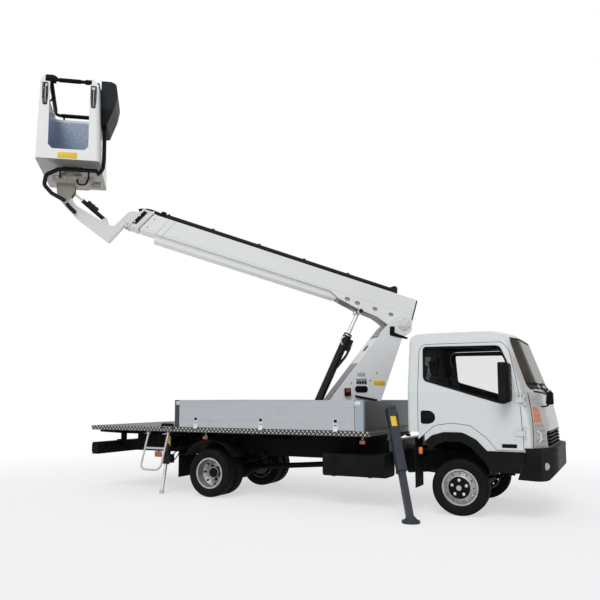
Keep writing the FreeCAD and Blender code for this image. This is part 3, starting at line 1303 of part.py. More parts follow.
# Hoses: from the console down, along the carrier to its pin, and down the bent arm
hose_radius = 19
console_hose = bent_bar([column_point(basket_u - 430, 120, basket_low_z + 620),
                         column_point(basket_u - 425, 150, basket_low_z + 300),
                         column_point(basket_u - 425, 185, basket_low_z + 10)], hose_radius, 200)
pieces["basket_console"] = slewed(fuse([console, console_hose]))
sleeve_radius = 26
sleeve_z = basket_low_z - sleeve_radius - 8
sleeve_v = 184
carrier_hose = bent_bar([
    column_point(turn_u - 360, sleeve_v, sleeve_z), column_point(turn_u - 100, sleeve_v, sleeve_z),
    column_point(turn_u + 140, sleeve_v - 2, sleeve_z - 6), column_point(turn_u + 295, 176, sleeve_z - 90),
    column_point(turn_u + 318, 158, pin_z + 122), column_point(turn_u + 222, 142, pin_z + 20),
    column_point(turn_u + 52, 140, pin_z - 72)], sleeve_radius, 70)
hose_clips = [column_plate([(u - 10, carrier_top_z - 40), (u + 10, carrier_top_z - 40), (u + 10, sleeve_z),
                            (u - 10, sleeve_z)], 150, sleeve_v) for u in (turn_u - 240, turn_u + 120)]
pieces["carrier_hose"] = slewed(fuse([carrier_hose] + hose_clips))
arm_sleeve_v = arm_half + sleeve_radius
arm_hose_points = [(4874, 190), (4840, 166), (4800, 142), (4748, 118)]
arm_hose = bent_bar([boom_point(s, arm_sleeve_v, t) for s, t in arm_hose_points], sleeve_radius, 200)
arm_hose_end = Part.makeSphere(sleeve_radius, boom_point(4748, arm_sleeve_v, 118))
pieces["arm_hose"] = slewed(lifted(fuse([arm_hose, arm_hose_end])))

# Export every piece about the origin: the middle of the machine's underside
bounds = FreeCAD.BoundBox()
for shape in pieces.values():
    bounds.add(shape.optimalBoundingBox(True, False))
origin = vec(bounds.Center.x, bounds.Center.y, bounds.ZMin)
os.makedirs("parts", exist_ok=True)
for name, shape in pieces.items():
    shape.translate(origin * -1)
    shape.exportStep("parts/" + name + ".step")
    if not shape.isValid():
        print("invalid", name)
print(len(pieces), "pieces, origin at", origin, "box", bounds)
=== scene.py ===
import math

import bmesh
import bpy
from mathutils import Matrix, Vector
from mathutils.bvhtree import BVHTree


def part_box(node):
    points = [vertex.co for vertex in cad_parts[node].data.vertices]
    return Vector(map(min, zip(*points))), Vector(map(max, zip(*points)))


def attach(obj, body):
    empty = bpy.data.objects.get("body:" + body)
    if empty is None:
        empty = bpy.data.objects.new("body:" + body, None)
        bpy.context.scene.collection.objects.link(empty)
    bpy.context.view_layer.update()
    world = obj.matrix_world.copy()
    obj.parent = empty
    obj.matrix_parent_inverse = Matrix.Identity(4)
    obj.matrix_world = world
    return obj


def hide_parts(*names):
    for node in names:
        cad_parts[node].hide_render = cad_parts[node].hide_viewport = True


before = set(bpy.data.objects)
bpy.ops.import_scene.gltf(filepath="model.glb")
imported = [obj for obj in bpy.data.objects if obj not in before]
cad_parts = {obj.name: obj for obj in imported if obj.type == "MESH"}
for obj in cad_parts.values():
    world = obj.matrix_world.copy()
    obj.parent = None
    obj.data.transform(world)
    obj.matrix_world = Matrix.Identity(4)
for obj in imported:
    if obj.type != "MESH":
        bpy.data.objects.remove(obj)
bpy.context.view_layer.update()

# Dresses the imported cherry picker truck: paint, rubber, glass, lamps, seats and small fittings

# Three rulers in metres: truck (x forward from the front axle, y left, z up), column (u out along
# the boom, v to its right, z up) and boom (s along it, v to its right, t square to it)
ruler = {"slewAngle": 37.7, "liftAngle": 15.9, "slewX": -1.881, "pivotBack": 0.937, "pivotZ": 2.394}
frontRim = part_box("front_rim_left")
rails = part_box("chassis_frame")
truckPlace = Matrix.Translation(((frontRim[0].x + frontRim[1].x) / 2, (rails[0].y + rails[1].y) / 2, 0))
columnPlace = (truckPlace @ Matrix.Translation((ruler["slewX"], 0,
    0)) @ Matrix.Rotation(math.radians(ruler["slewAngle"]), 4, "Z") @ Matrix.Rotation(math.pi, 4, "Z"))
boomPlace = (columnPlace @ Matrix.Translation((-ruler["pivotBack"], 0,
    ruler["pivotZ"])) @ Matrix.Rotation(-math.radians(ruler["liftAngle"]), 4, "Y"))
sides = (("left", 1), ("right", -1))


# A node socket that takes part in Python expressions
class Link:
    def __init__(self, shader, socket):
        self.shader = shader
        self.socket = socket

    def calc(self, operation, first, second=0.0):
        return self.shader.node("Math", {"operation": operation}, [first, second])

    def __add__(self, other):
        return self.calc("ADD", self, other)

    def __sub__(self, other):
        return self.calc("SUBTRACT", self, other)

    def __rsub__(self, other):
        return self.calc("SUBTRACT", other, self)

    def __mul__(self, other):
        return self.calc("MULTIPLY", self, other)

    def __truediv__(self, other):
        return self.calc("DIVIDE", self, other)

    def __pow__(self, other):
        return self.calc("POWER", self, other)

    def __abs__(self):
        return self.calc("ABSOLUTE", self)

    __radd__ = __add__
    __rmul__ = __mul__

    def peak(self, other):
        return self.calc("MAXIMUM", self, other)

    def sine(self):
        return self.calc("SINE", self)

    def fold(self, step):
        return self.calc("PINGPONG", self, step)

    def ramp(self, low, high):
        return self.shader.node("MapRange", {"interpolation_type": "SMOOTHSTEP"},
            {"Value": self, "From Min": low, "From Max": high})

    # 1 between low and high, 0 outside
    def band(self, low, high, soft=0.0015):
        return self.ramp(low - soft, low + soft) * (1.0 - self.ramp(high - soft, high + soft))


# The nodes of a world or a material
class Tree:
    def __init__(self, owner):
        owner.use_nodes = True
        self.tree = owner.node_tree
        self.tree.nodes.clear()

    def node(self, kind, settings, inputs, output=0):
        made = self.tree.nodes.new("ShaderNode" + kind)
        for key, value in settings.items():
            setattr(made, key, value)
        pairs = inputs.items() if isinstance(inputs, dict) else enumerate(inputs)
        for key, value in pairs:
            if isinstance(value, Link):
                self.tree.links.new(value.socket, made.inputs[key])
            else:
                made.inputs[key].default_value = value
        return Link(self, made.outputs[output])

    # 1 for rays that show the backdrop itself, 0 for those that carry its light
    def shown(self):
        camera, glossy, through = [self.node("LightPath", {}, {}, "Is %s Ray" % kind)
            for kind in ("Camera", "Glossy", "Transmission")]
        total = camera + glossy + through
        return total.calc("MINIMUM", total, 1.0)


class Shader(Tree):
    def __init__(self, name, **fixed):
        self.material = bpy.data.materials.new(name)
        super().__init__(self.material)
        self.surface = self.tree.nodes.new("ShaderNodeBsdfPrincipled")
        self.end = self.tree.nodes.new("ShaderNodeOutputMaterial")
        self.tree.links.new(self.surface.outputs[0], self.end.inputs[0])
        for key, value in fixed.items():
            self.surface.inputs[key.replace("_", " ")].default_value = value

    def point(self):
        return self.node("TexCoord", {}, {}, "Object")

    # The three distances of a point along one of the rulers
    def along(self, place=truckPlace):
        back = place.inverted()
        local = self.node("Mapping", {"vector_type": "POINT"}, {"Vector": self.point(),
            "Location": back.translation, "Rotation": back.to_euler()})
        return [self.node("SeparateXYZ", {}, [local], i) for i in range(3)]

    # The surface's direction on one of the rulers
    def facing(self, place=truckPlace):
        normal = self.node("TexCoord", {}, {}, "Normal")
        local = self.node("Mapping", {"vector_type": "NORMAL"}, {"Vector": normal,
            "Rotation": place.inverted().to_euler()})
        return [self.node("SeparateXYZ", {}, [local], i) for i in range(3)]

    def noise(self, scale, detail=3.0, rough=0.55, stretch=(1, 1, 1)):
        place = self.node("Mapping", {}, {"Vector": self.point(), "Scale": stretch})
        return self.node("TexNoise", {}, {"Vector": place, "Scale": scale, "Detail": detail,
            "Roughness": rough})

    def cells(self, scale):
        return self.node("TexVoronoi", {}, {"Vector": self.point(), "Scale": scale})

    def blend(self, mask, first, second):
        return self.node("Mix", {"data_type": "RGBA"}, {0: mask, 6: first, 7: second}, 2)

    def set(self, socket, value):
        self.tree.links.new(value.socket, self.surface.inputs[socket])

    # Sets colour, roughness and relief, and hands over the material
    def finish(self, colour, roughness, height, distance, strength):
        self.set("Base Color", colour)
        if roughness is not None:
            self.set("Roughness", roughness)
        relief = {"Height": height, "Distance": distance, "Strength": strength}
        self.set("Normal", self.node("Bump", {}, relief))
        return self.material


def rgb(red, green, blue):
    return (red, green, blue, 1.0)


def darker(colour, share):
    return rgb(*[c * share for c in colour[:3]])


# Paint with faint clouds, road film low down and orange peel
def paint(name, colour, film=rgb(0.3, 0.28, 0.25), filmTop=0.9, filmShare=0.3, rough=0.3, coat=0.35,
        mark=None, sheen=0.5):
    look = Shader(name, Roughness=rough, Coat_Weight=coat, Coat_Roughness=0.12, Specular_IOR_Level=sheen)
    z = look.along()[2]
    cloud = look.noise(2.2, 4.0)
    fine = look.noise(38.0, 3.0)
    low = 1.0 - z.ramp(0.25, filmTop)
    dirt = (low * cloud.ramp(0.35, 0.75) * filmShare) + fine.ramp(0.6, 0.85) * 0.03
    shade = look.blend(cloud.ramp(0.2, 0.8) * 0.5, colour, darker(colour, 0.95))
    shade = look.blend(dirt, shade, film)
    roughness = dirt * 0.6 + rough
    if mark:
        shade, roughness = mark(look, shade, roughness)
    return look.finish(shade, roughness, look.noise(160.0, 1.0), 0.0005, 0.3)


# Inner skins, window reveals and the underside of the cab are dark trim; the nose gets painted shade with some
# road dust
def cabMark(look, shade, roughness):
    x, y, z = look.along()
    nx, ny, nz = look.facing()
    outward = (x - 0.12) * nx + y * ny + (z - 1.45) * nz
    inner = 1.0 - outward.ramp(-0.03, 0.03)
    under = (1.0 - nz.ramp(-0.6, -0.4)) * (1.0 - z.ramp(1.06, 1.1))
    dark = inner.peak(under)
    # front-facing nose darkened to a grey-beige: painted shade, with some road dust
    noseShadeAndDust = nx.ramp(0.35, 0.75) * x.ramp(0.55, 0.65) * look.noise(5.0, 4.0).ramp(0.0, 0.6)
    shade = look.blend(noseShadeAndDust * 0.6, shade, rgb(0.25, 0.232, 0.195))
    return look.blend(dark, shade, rgb(0.01, 0.01, 0.011)), dark * 0.5 + noseShadeAndDust * 0.15 + roughness


# The column's front has a blue-grey panel, and its side a faint weld line under the ears
def columnMark(look, shade, roughness):
    u, v, z = look.along(columnPlace)
    front = (u + (z - 1.337) * 0.795).ramp(0.11, 0.13) * z.band(1.3, 1.84) * (1.0 - abs(v).ramp(0.185, 0.187))
    slate = look.blend(z.ramp(1.45, 1.8), rgb(0.04, 0.047, 0.058), rgb(0.14, 0.165, 0.2))
    weld = z.band(1.9975, 2.0005, 0.001) * abs(v).ramp(0.205, 0.208) * 0.35
    shade = look.blend(front, shade, slate)
    return look.blend(weld, shade, rgb(0.45, 0.45, 0.44)), front * 0.15 + roughness


# The boom's flanks have a long seam, its belly recesses get a grey-brown painted shade and its rear end is dark
def boomMark(look, shade, roughness):
    s, v, t = look.along(boomPlace)
    seam = t.band(0.1705, 0.1745, 0.001) * s.band(-0.11, 3.87) * abs(v).ramp(0.145, 0.147)
    # painted shade inside the belly recesses
    recessShade = (1.0 - abs(v).ramp(0.1465, 0.1485)) * t.band(0.05, 0.14) * s.band(0.15, 0.93) * abs(v).ramp(0.128,
        0.132)
    rear = (1.0 - s.ramp(-0.109, -0.106))
    streak = look.noise(7.0, 4.0, 0.6, (0.3, 1.0, 1.0)).ramp(0.55, 0.85) * 0.12
    shade = look.blend(streak, shade, rgb(0.5, 0.49, 0.46))
    shade = look.blend(seam * 0.5, shade, rgb(0.3, 0.3, 0.3))
    shade = look.blend(recessShade, shade, rgb(0.3, 0.29, 0.26))
    return look.blend(rear, shade, rgb(0.03, 0.03, 0.032)), streak + roughness


# The basket's inside has a blue-grey dimpled liner that ends below the rim; its underside gets a dark
# beige-brown painted shade
def basketMark(look, shade, roughness):
    u, v, z = look.along(columnPlace)
    nu, nv, nz = look.facing(columnPlace)
    inward = 1.0 - ((u - 3.655) * nu + (v + 0.15) * nv).ramp(-0.12, -0.06)
    floorPart = nz.ramp(0.4, 0.6) * (1.0 - z.ramp(4.42, 4.43))
    lined = inward.peak(floorPart) * (1.0 - z.ramp(5.355, 5.358)) * z.ramp(4.38, 4.384)
    dimple = look.cells(46.0).ramp(0.05, 0.5)
    liner = look.blend(dimple, rgb(0.62, 0.7, 0.82), rgb(0.33, 0.41, 0.54))
    # downward faces under the basket floor: painted shade
    under = (1.0 - nz.ramp(-0.6, -0.4)) * (1.0 - z.ramp(4.4, 4.41))
    shade = look.blend(under * 0.9, shade, rgb(0.17, 0.158, 0.14))
    return look.blend(lined, shade, liner), lined * 0.2 + roughness


# The rear jacks are black, the front legs slate
def legMark(look, shade, roughness):
    rear = 1.0 - look.along()[0].ramp(-3.2, -3.0)
    return look.blend(rear, shade, rgb(0.007, 0.007, 0.008)), roughness


# The carrier has clouds of brown grime
def carrierMark(look, shade, roughness):
    grime = look.noise(11.0, 4.0).ramp(0.55, 0.8) * 0.3
    return look.blend(grime, shade, rgb(0.24, 0.21, 0.17)), grime + roughness


# Black or grey plastic with a moulded grain
def plastic(name, colour, rough=0.55, grain=260.0, depth=0.0006, dust=0.12, dusty=rgb(0.07, 0.067, 0.062),
        sheen=0.07):
    look = Shader(name, Roughness=rough, Specular_IOR_Level=sheen)
    cloud = look.noise(6.0, 5.0)
    return look.finish(look.blend(cloud.ramp(0.45, 0.8) * dust, colour, dusty), cloud * 0.25 + (rough - 0.1),
        look.cells(grain), depth, 0.5)


# The console: speckled dark shell, its upper half a shade lighter, with a crease between them
def consoleShell(name):
    look = Shader(name, Roughness=0.6, Specular_IOR_Level=0.1)
    z = look.along(columnPlace)[2]
    speck = look.noise(90.0, 2.0, 0.8).ramp(0.55, 0.75)
    upper = z.ramp(5.18, 5.2)
    shade = look.blend(upper, rgb(0.006, 0.007, 0.008), rgb(0.019, 0.022, 0.027))
    shade = look.blend(speck * 0.3, shade, rgb(0.05, 0.056, 0.066))
    return look.finish(look.blend(z.band(5.185, 5.192, 0.002) * 0.8, shade, rgb(0.005, 0.005, 0.005)),
        speck * 0.2 + 0.5, look.noise(140.0, 2.0), 0.0012, 0.6)


# Bare or plated metal, brushed along one direction
def metal(name, colour, rough=0.3, stretch=(1, 1, 1), scale=60.0, stain=0.25, metallic=1.0):
    look = Shader(name, Roughness=rough, Metallic=metallic)
    lines = look.noise(scale, 4.0, 0.65, stretch)
    cloud = look.noise(5.0, 4.0)
    return look.finish(look.blend(cloud.ramp(0.5, 0.85) * stain + lines * 0.18, colour, darker(colour, 0.62)),
        lines * 0.25 + cloud * 0.15 + (rough - 0.15), lines, 0.0003, 0.4)


# Chequer plate: raised bars that lie crosswise in turn; faces that look up get painted shade
def chequerPlate(name, colour, gap, pitch=0.034):
    look = Shader(name, Roughness=0.38, Metallic=0.25, Specular_IOR_Level=0.3)
    x, y, z = look.along()
    nx, nz = look.facing()[::2]
    side = abs(nx).ramp(0.45, 0.55)
    flat = abs(nz).ramp(0.45, 0.55)
    first = x * (1.0 - side) + y * side
    second = z * (1.0 - flat) + y * flat
    a = (first + second) / pitch
    b = (first - second) / pitch
    cell = (a.calc("FLOOR", a) + b.calc("FLOOR", b)).fold(1.0)
    la = a.calc("FRACT", a) - 0.5
    lb = b.calc("FRACT", b) - 0.5
    lengthwise = (la / 0.46) ** 2.0 + (lb / 0.17) ** 2.0
    crosswise = (la / 0.17) ** 2.0 + (lb / 0.46) ** 2.0
    bar = 1.0 - (lengthwise * cell + crosswise * (1.0 - cell)).ramp(0.55, 1.05)
    grime = look.noise(9.0, 5.0).ramp(0.35, 0.75)
    # upward faces darkened: painted shade
    colour = look.blend(nz.ramp(0.45, 0.55) * 0.7, colour, darker(colour, 0.28))
    base = look.blend(grime * 0.6, gap, darker(gap, 0.6))
    return look.finish(look.blend(bar, base, colour), 0.55 - bar * 0.25, bar, 0.0022, 0.9)


# Extruded board with long shallow grooves; its hinge straps stand proud and shine
def boardAlloy(name, colour):
    look = Shader(name, Roughness=0.42, Metallic=0.5)
    y, z = look.along()[1:]
    strap = abs(y).ramp(0.9816, 0.9824)
    groove = (1.0 - z.fold(0.0475).ramp(0.0, 0.003)) * (1.0 - strap)
    smear = look.noise(3.0, 5.0, 0.6, (0.5, 0.5, 3.0))
    streak = look.noise(26.0, 4.0, 0.6, (1.0, 1.0, 0.15))
    shade = look.blend(smear.ramp(0.35, 0.75) * 0.5, colour, darker(colour, 0.84))
    shade = look.blend(streak.ramp(0.55, 0.8) * 0.22, shade, rgb(0.62, 0.63, 0.64))
    shade = look.blend(groove * 0.35, shade, rgb(0.2, 0.22, 0.24))
    return look.finish(look.blend(strap, shade, rgb(0.72, 0.73, 0.74)), smear * 0.25 + 0.3 - strap * 0.1,
        1.0 - groove, 0.001, 0.8)


# Posts and headboard: alloy; the headboard's front face is darkened and the rear posts are painted dark
def postAlloy(name, colour):
    look = Shader(name, Roughness=0.4, Metallic=0.5)
    x, y = look.along()[:2]
    brushed = look.noise(40.0, 4.0, 0.6, (1, 1, 5))
    dark = x.ramp(-1.125, -1.1235) * (1.0 - abs(y).ramp(0.919, 0.921))
    rear = 1.0 - x.ramp(-3.5, -3.4)
    dark = dark.peak(rear)
    shade = look.blend(brushed * 0.4, colour, darker(colour, 0.7))
    return look.finish(look.blend(dark, shade, rgb(0.05, 0.052, 0.055)), brushed * 0.2 + 0.32, brushed,
        0.0004, 0.4)


# Tyre rubber with a dusty wall
def rubber(name, dust=0.3):
    look = Shader(name, Roughness=0.75, Specular_IOR_Level=0.08)
    cloud = look.noise(9.0, 5.0)
    return look.finish(look.blend(cloud.ramp(0.4, 0.8) * dust, rgb(0.006, 0.006, 0.007),
        rgb(0.026, 0.024, 0.022)), cloud * 0.3 + 0.5, look.noise(120.0, 2.0), 0.0006, 0.5)


# Steel wheel: silver on its outer face; its inner face and the inner twin rims are dark with grime and painted
# shade
def wheelPaint(name, colour):
    look = Shader(name, Roughness=0.38, Metallic=0.35, Coat_Weight=0.15, Coat_Roughness=0.2)
    y = look.along()[1]
    ny = look.facing()[1]
    outer = (ny * y).ramp(-0.02, 0.1)
    cloud = look.noise(14.0, 4.0)
    inboardShadeAndGrime = 1.0 - abs(y).ramp(0.66, 0.7)
    # grime holds real dirt clouds plus painted shade on the inner face and the inner twin rims
    grime = (cloud.ramp(0.4, 0.75) * 0.3) + (1.0 - outer) * 0.75
    grime = grime.peak(inboardShadeAndGrime)
    return look.finish(look.blend(grime, colour, rgb(0.045, 0.042, 0.038)), grime * 0.35 + 0.32,
        look.noise(150.0, 1.0), 0.0005, 0.3)


# Braided hose sleeve
def sleeve(name):
    look = Shader(name, Roughness=0.6, Specular_IOR_Level=0.2)
    x, y, z = look.along()
    weave = ((x + y * 0.4 + z) * 160.0).sine() * ((x * 0.5 - y - z) * 160.0).sine()
    height = weave.ramp(-1.0, 1.0)
    return look.finish(look.blend(height, rgb(0.004, 0.004, 0.005), rgb(0.016, 0.016, 0.018)), None, height,
        0.0009, 0.6)


# Tinted pane with a film of dust; the pane behind the seats is made near black and near opaque as painted shade
def glass(name, tint, alpha, sheen):
    look = Shader(name, Roughness=0.04, IOR=1.45, Specular_IOR_Level=sheen)
    film = look.noise(4.0, 3.0)
    # the pane behind the seats: painted shade
    back = (1.0 - look.along()[0].ramp(-0.5, -0.48)) * 0.85
    look.set("Alpha", (film * 0.05 + alpha).peak(back))
    return look.finish(look.blend(back, look.blend(film.ramp(0.3, 0.8) * 0.5, tint, darker(tint, 1.6)),
        rgb(0.01, 0.01, 0.011)), None, look.noise(1.2, 2.0), 0.001, 0.1)


# Lens with moulded flutes
def lens(name, colour, back, flute=90.0):
    look = Shader(name, Roughness=0.1, Coat_Weight=0.6, Coat_Roughness=0.05)
    y, z = look.along()[1:]
    wave = (y * flute).sine() * 0.5 + (z * flute).sine() * 0.5
    return look.finish(look.blend(wave.ramp(-0.8, 0.8), colour, back), None, wave, 0.001, 0.4)


# The truck's lamps change colour by their place
def lampLens(name):
    look = Shader(name, Roughness=0.1, Coat_Weight=0.6, Coat_Roughness=0.05)
    x, y, z = look.along()
    flute = (y * 260.0).sine() * 0.5 + (z * 110.0).sine() * 0.5
    amber = look.blend(flute.ramp(-0.8, 0.8), rgb(0.6, 0.15, 0.025), rgb(0.42, 0.085, 0.012))
    clear = look.blend(flute.ramp(-0.8, 0.8), rgb(0.36, 0.35, 0.32), rgb(0.19, 0.18, 0.16))
    red = look.blend(flute.ramp(-0.8, 0.8), rgb(0.5, 0.02, 0.012), rgb(0.32, 0.01, 0.008))
    head = x.ramp(0.5, 0.6) * (1.0 - z.ramp(1.078, 1.084))
    tail = 1.0 - x.ramp(-5.2, -5.1)
    middle = tail * abs(y).band(0.7, 0.8)
    inner = tail * (1.0 - abs(y).ramp(0.699, 0.701))
    shade = look.blend(head.peak(inner), amber, clear)
    shade = look.blend(x.band(-4.5, -0.6), shade, rgb(0.26, 0.045, 0.012))
    return look.finish(look.blend(middle, shade, red), None, flute, 0.001, 0.4)


looks = {
    "cabWhite": paint("cabWhite", rgb(0.64, 0.67, 0.685), filmTop=1.2, filmShare=0.18, mark=cabMark),
    "columnWhite": paint("columnWhite", rgb(0.75, 0.765, 0.78), filmShare=0.0, rough=0.36, coat=0.2,
        mark=columnMark),
    "boomWhite": paint("boomWhite", rgb(0.76, 0.775, 0.785), filmShare=0.0, rough=0.34, coat=0.25,
        mark=boomMark),
    "headWhite": paint("headWhite", rgb(0.67, 0.68, 0.685), filmShare=0.0, rough=0.36, coat=0.2),
    # the carrier's white paint is given as a dark beige: painted shade; carrierMark adds grime clouds
    "carrierPaintedShade": paint("carrierPaintedShade", rgb(0.33, 0.305, 0.26), filmShare=0.0, rough=0.4, coat=0.1,
        mark=carrierMark),
    "basketWhite": paint("basketWhite", rgb(0.79, 0.805, 0.81), filmShare=0.0, rough=0.32, coat=0.2,
        mark=basketMark),
    "legSlate": paint("legSlate", rgb(0.034, 0.041, 0.051), film=rgb(0.09, 0.085, 0.075), filmTop=0.6,
        rough=0.42, coat=0.08, mark=legMark, sheen=0.15),
    "chassisBlack": paint("chassisBlack", rgb(0.006, 0.006, 0.007), film=rgb(0.028, 0.026, 0.023),
        filmShare=0.4, rough=0.6, coat=0.0, sheen=0.05),
    "cylinderBlack": paint("cylinderBlack", rgb(0.006, 0.006, 0.007), film=rgb(0.03, 0.03, 0.03), filmTop=0.5,
        rough=0.38, coat=0.03, sheen=0.15),
    "yellow": paint("yellowPlate", rgb(0.74, 0.5, 0.02), filmTop=0.5, filmShare=0.2, rough=0.4, coat=0.1),
    "label": paint("greyPlate", rgb(0.42, 0.43, 0.44), filmTop=0.5, rough=0.4, coat=0.1),
    "wheel": wheelPaint("wheelSilver", rgb(0.43, 0.44, 0.45)),
    "trimBlack": plastic("trimBlack", rgb(0.007, 0.007, 0.008), 0.55),
    "bumperGrey": plastic("bumperGrey", rgb(0.006, 0.006, 0.007), 0.5, 300.0, 0.0005, 0.15),
    "deepBlack": plastic("deepBlack", rgb(0.005, 0.005, 0.006), 0.45, 320.0, 0.0004, 0.03, sheen=0.06),
    "dashGrey": plastic("dashGrey", rgb(0.012, 0.012, 0.013), 0.6, 220.0, 0.0008, 0.05),
    "seatCloth": plastic("seatCloth", rgb(0.02, 0.021, 0.025), 0.9, 620.0, 0.0009, 0.2),
    "console": consoleShell("consoleShell"),
    "steel": metal("brightSteel", rgb(0.6, 0.61, 0.62), 0.25, (1, 1, 1), 90.0, 0.15),
    "zinc": metal("zincPlate", rgb(0.45, 0.47, 0.49), 0.35, (1, 1, 1), 45.0, 0.3),
    "chrome": metal("hardChrome", rgb(0.62, 0.63, 0.65), 0.16, (1, 1, 6), 50.0, 0.05),
    "alloy": metal("ladderAlloy", rgb(0.5, 0.51, 0.52), 0.4, (1, 1, 4), 60.0, 0.2, 0.25),
    "rustySteel": metal("exhaustSteel", rgb(0.16, 0.13, 0.11), 0.6, (1, 1, 1), 30.0, 0.6, 0.6),
    "socketRed": paint("socketRed", rgb(0.3, 0.03, 0.015), filmTop=0.5, rough=0.4, coat=0.1),
    "mirror": metal("mirrorFace", rgb(0.85, 0.87, 0.88), 0.17, (1, 1, 1), 3.0, 0.0),
    "post": postAlloy("postAlloy", rgb(0.36, 0.41, 0.47)),
    "chequer": chequerPlate("chequerPlate", rgb(0.66, 0.65, 0.62), rgb(0.06, 0.057, 0.052), 0.058),
    "board": boardAlloy("boardAlloy", rgb(0.44, 0.465, 0.5)),
    "tyre": rubber("tyreRubber"),
    "seal": rubber("sealRubber", 0.08),
    "sleeve": sleeve("hoseSleeve"),
    "sidePane": glass("sidePane", rgb(0.012, 0.016, 0.018), 0.04, 0.25),
    "screenPane": glass("screenPane", rgb(0.05, 0.042, 0.033), 0.88, 0.03),
    "lamps": lampLens("lampLenses"),
    "amber": lens("amberLens", rgb(0.75, 0.19, 0.02), rgb(0.52, 0.1, 0.01)),
    "orange": lens("orangeReflector", rgb(0.46, 0.11, 0.012), rgb(0.32, 0.07, 0.01), 300.0),
    "clearLens": lens("clearLens", rgb(0.5, 0.49, 0.46), rgb(0.28, 0.27, 0.25), 60.0),
}
print("finishes ready:", len(looks))


def addObject(name, data):
    made = bpy.data.objects.new(name, data)
    bpy.context.scene.collection.objects.link(made)
    return made


# Flat faces stay flat and shallow bends are shaded smooth
def sharpen(bm, angle):
    limit = math.radians(angle)
    for face in bm.faces:
        face.smooth = True
    for edge in bm.edges:
        edge.smooth = len(edge.link_faces) == 2 and edge.calc_face_angle(0.0) < limit


# A finish has its usual slot, and a body the ruler that its pieces are drawn on
slotOf = {"steel": "rods", "zinc": "rods", "chrome": "rods", "mirror": "rods", "headWhite": "white",
          "sleeve": "hose", "clearLens": "lamp", "orange": "lamp", "amber": "lamp",
          "cylinderBlack": "cylinder", "legSlate": "legs", "chassisBlack": "chassis", "tyre": "tyre"}
rulerOf = {"column": columnPlace, "lift_barrel": columnPlace, "basket": columnPlace, "entry_bar": columnPlace,
           "basket_carrier": columnPlace, "boom_outer": boomPlace, "boom_middle": boomPlace,
           "boom_inner": boomPlace, "level_barrel": boomPlace}


def keep(bm, name, look, body, slot=None, place=None, sharp=38):
    slot = slot or slotOf.get(look, "plastic")
    place = place or rulerOf.get(body, truckPlace)
    bmesh.ops.remove_doubles(bm, verts=bm.verts, dist=0.00002)
    bmesh.ops.recalc_face_normals(bm, faces=bm.faces)
    bmesh.ops.transform(bm, matrix=place, verts=bm.verts)
    sharpen(bm, sharp)
    mesh = bpy.data.meshes.new(name)
    bm.to_mesh(mesh)
    bm.free()
    mesh.materials.append(looks[look])
    piece = addObject(name, mesh)
    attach(piece, body)
    return piece


def block(bm, centre, size, edge=0.0, steps=2):
    before = set(bm.verts)
    made = bmesh.ops.create_cube(bm, size=1.0)["verts"]
    bmesh.ops.scale(bm, vec=size, verts=made)
    bmesh.ops.translate(bm, vec=centre, verts=made)
    if edge:
        edges = list({e for v in made for e in v.link_edges})
        bmesh.ops.bevel(bm, geom=edges, offset=edge, segments=steps, affect="EDGES", profile=0.5, material=-1)
    return [v for v in bm.verts if v not in before]


# A round bar, washer or nut whose axis points along direction
def drum(bm, centre, direction, radius, length, sideCount=32, edge=0.0, topRadius=None):
    before = set(bm.verts)
    made = bmesh.ops.create_cone(bm, cap_ends=True, segments=sideCount, radius1=radius,
        radius2=radius if topRadius is None else topRadius, depth=length)["verts"]
    if edge:
        rims = [e for e in {e for v in made
            for e in v.link_edges} if abs(e.verts[0].co.z - e.verts[1].co.z) < 1e-6]
        bmesh.ops.bevel(bm, geom=rims, offset=edge, segments=2, affect="EDGES", profile=0.5, material=-1)
    fresh = [v for v in bm.verts if v not in before]
    aim = Vector(direction).to_track_quat("Z", "Y").to_matrix().to_4x4()
    bmesh.ops.transform(bm, matrix=Matrix.Translation(centre) @ aim, verts=fresh)
    return fresh


# The corners of a rectangle from its two opposite ones
def oblong(a, b, c, d):
    return [(a, b), (c, b), (c, d), (a, d)]


# A point given for the left side, set on either side
def onSide(sign, spot):
    return Vector((spot[0], sign * spot[1], spot[2]))


def shifted(a, b, points):
    return [(a + p, b + q) for p, q in points]


def cutLong(bm, longest, cuts):
    bmesh.ops.subdivide_edges(bm, edges=[e for e in bm.edges if e.calc_length() > longest], cuts=cuts)


# Keeps a piece from standing further forward than a limit
def holdBack(bm, limit):
    for vert in bm.verts:
        vert.co.x = min(vert.co.x, limit)


planes = {"x": lambda a, b, c: (c, a, b), "y": lambda a, b, c: (a, c, b), "z": lambda a, b, c: (a, b, c)}


# A flat outline with rounded corners on the plane of two axes
def sheet(bm, outline, axis, level, corner=0.0, steps=4):
    before = set(bm.verts)
    face = bm.faces.new([bm.verts.new(planes[axis](a, b, level)) for a, b in outline])
    if corner:
        bmesh.ops.bevel(bm, geom=face.verts[:], offset=corner, segments=steps, affect="VERTICES", profile=0.5,
            material=-1)
    fresh = [v for v in bm.verts if v not in before]
    return [f for f in bm.faces if f.verts[0] in set(fresh)][0]


def plate(bm, outline, axis, start, end, edge=0.0, corner=0.0):
    face = sheet(bm, outline, axis, start, corner)
    grown = bmesh.ops.extrude_face_region(bm, geom=[face])["geom"]
    moved = [g for g in grown if isinstance(g, bmesh.types.BMVert)]
    bmesh.ops.translate(bm, vec=planes[axis](0, 0, end - start), verts=moved)
    if edge:
        inside = set(moved)
        edges = list({e for v in moved for e in v.link_edges if inside.issuperset(e.verts)})
        bmesh.ops.bevel(bm, geom=edges, offset=edge, segments=2, affect="EDGES", profile=0.5, material=-1)


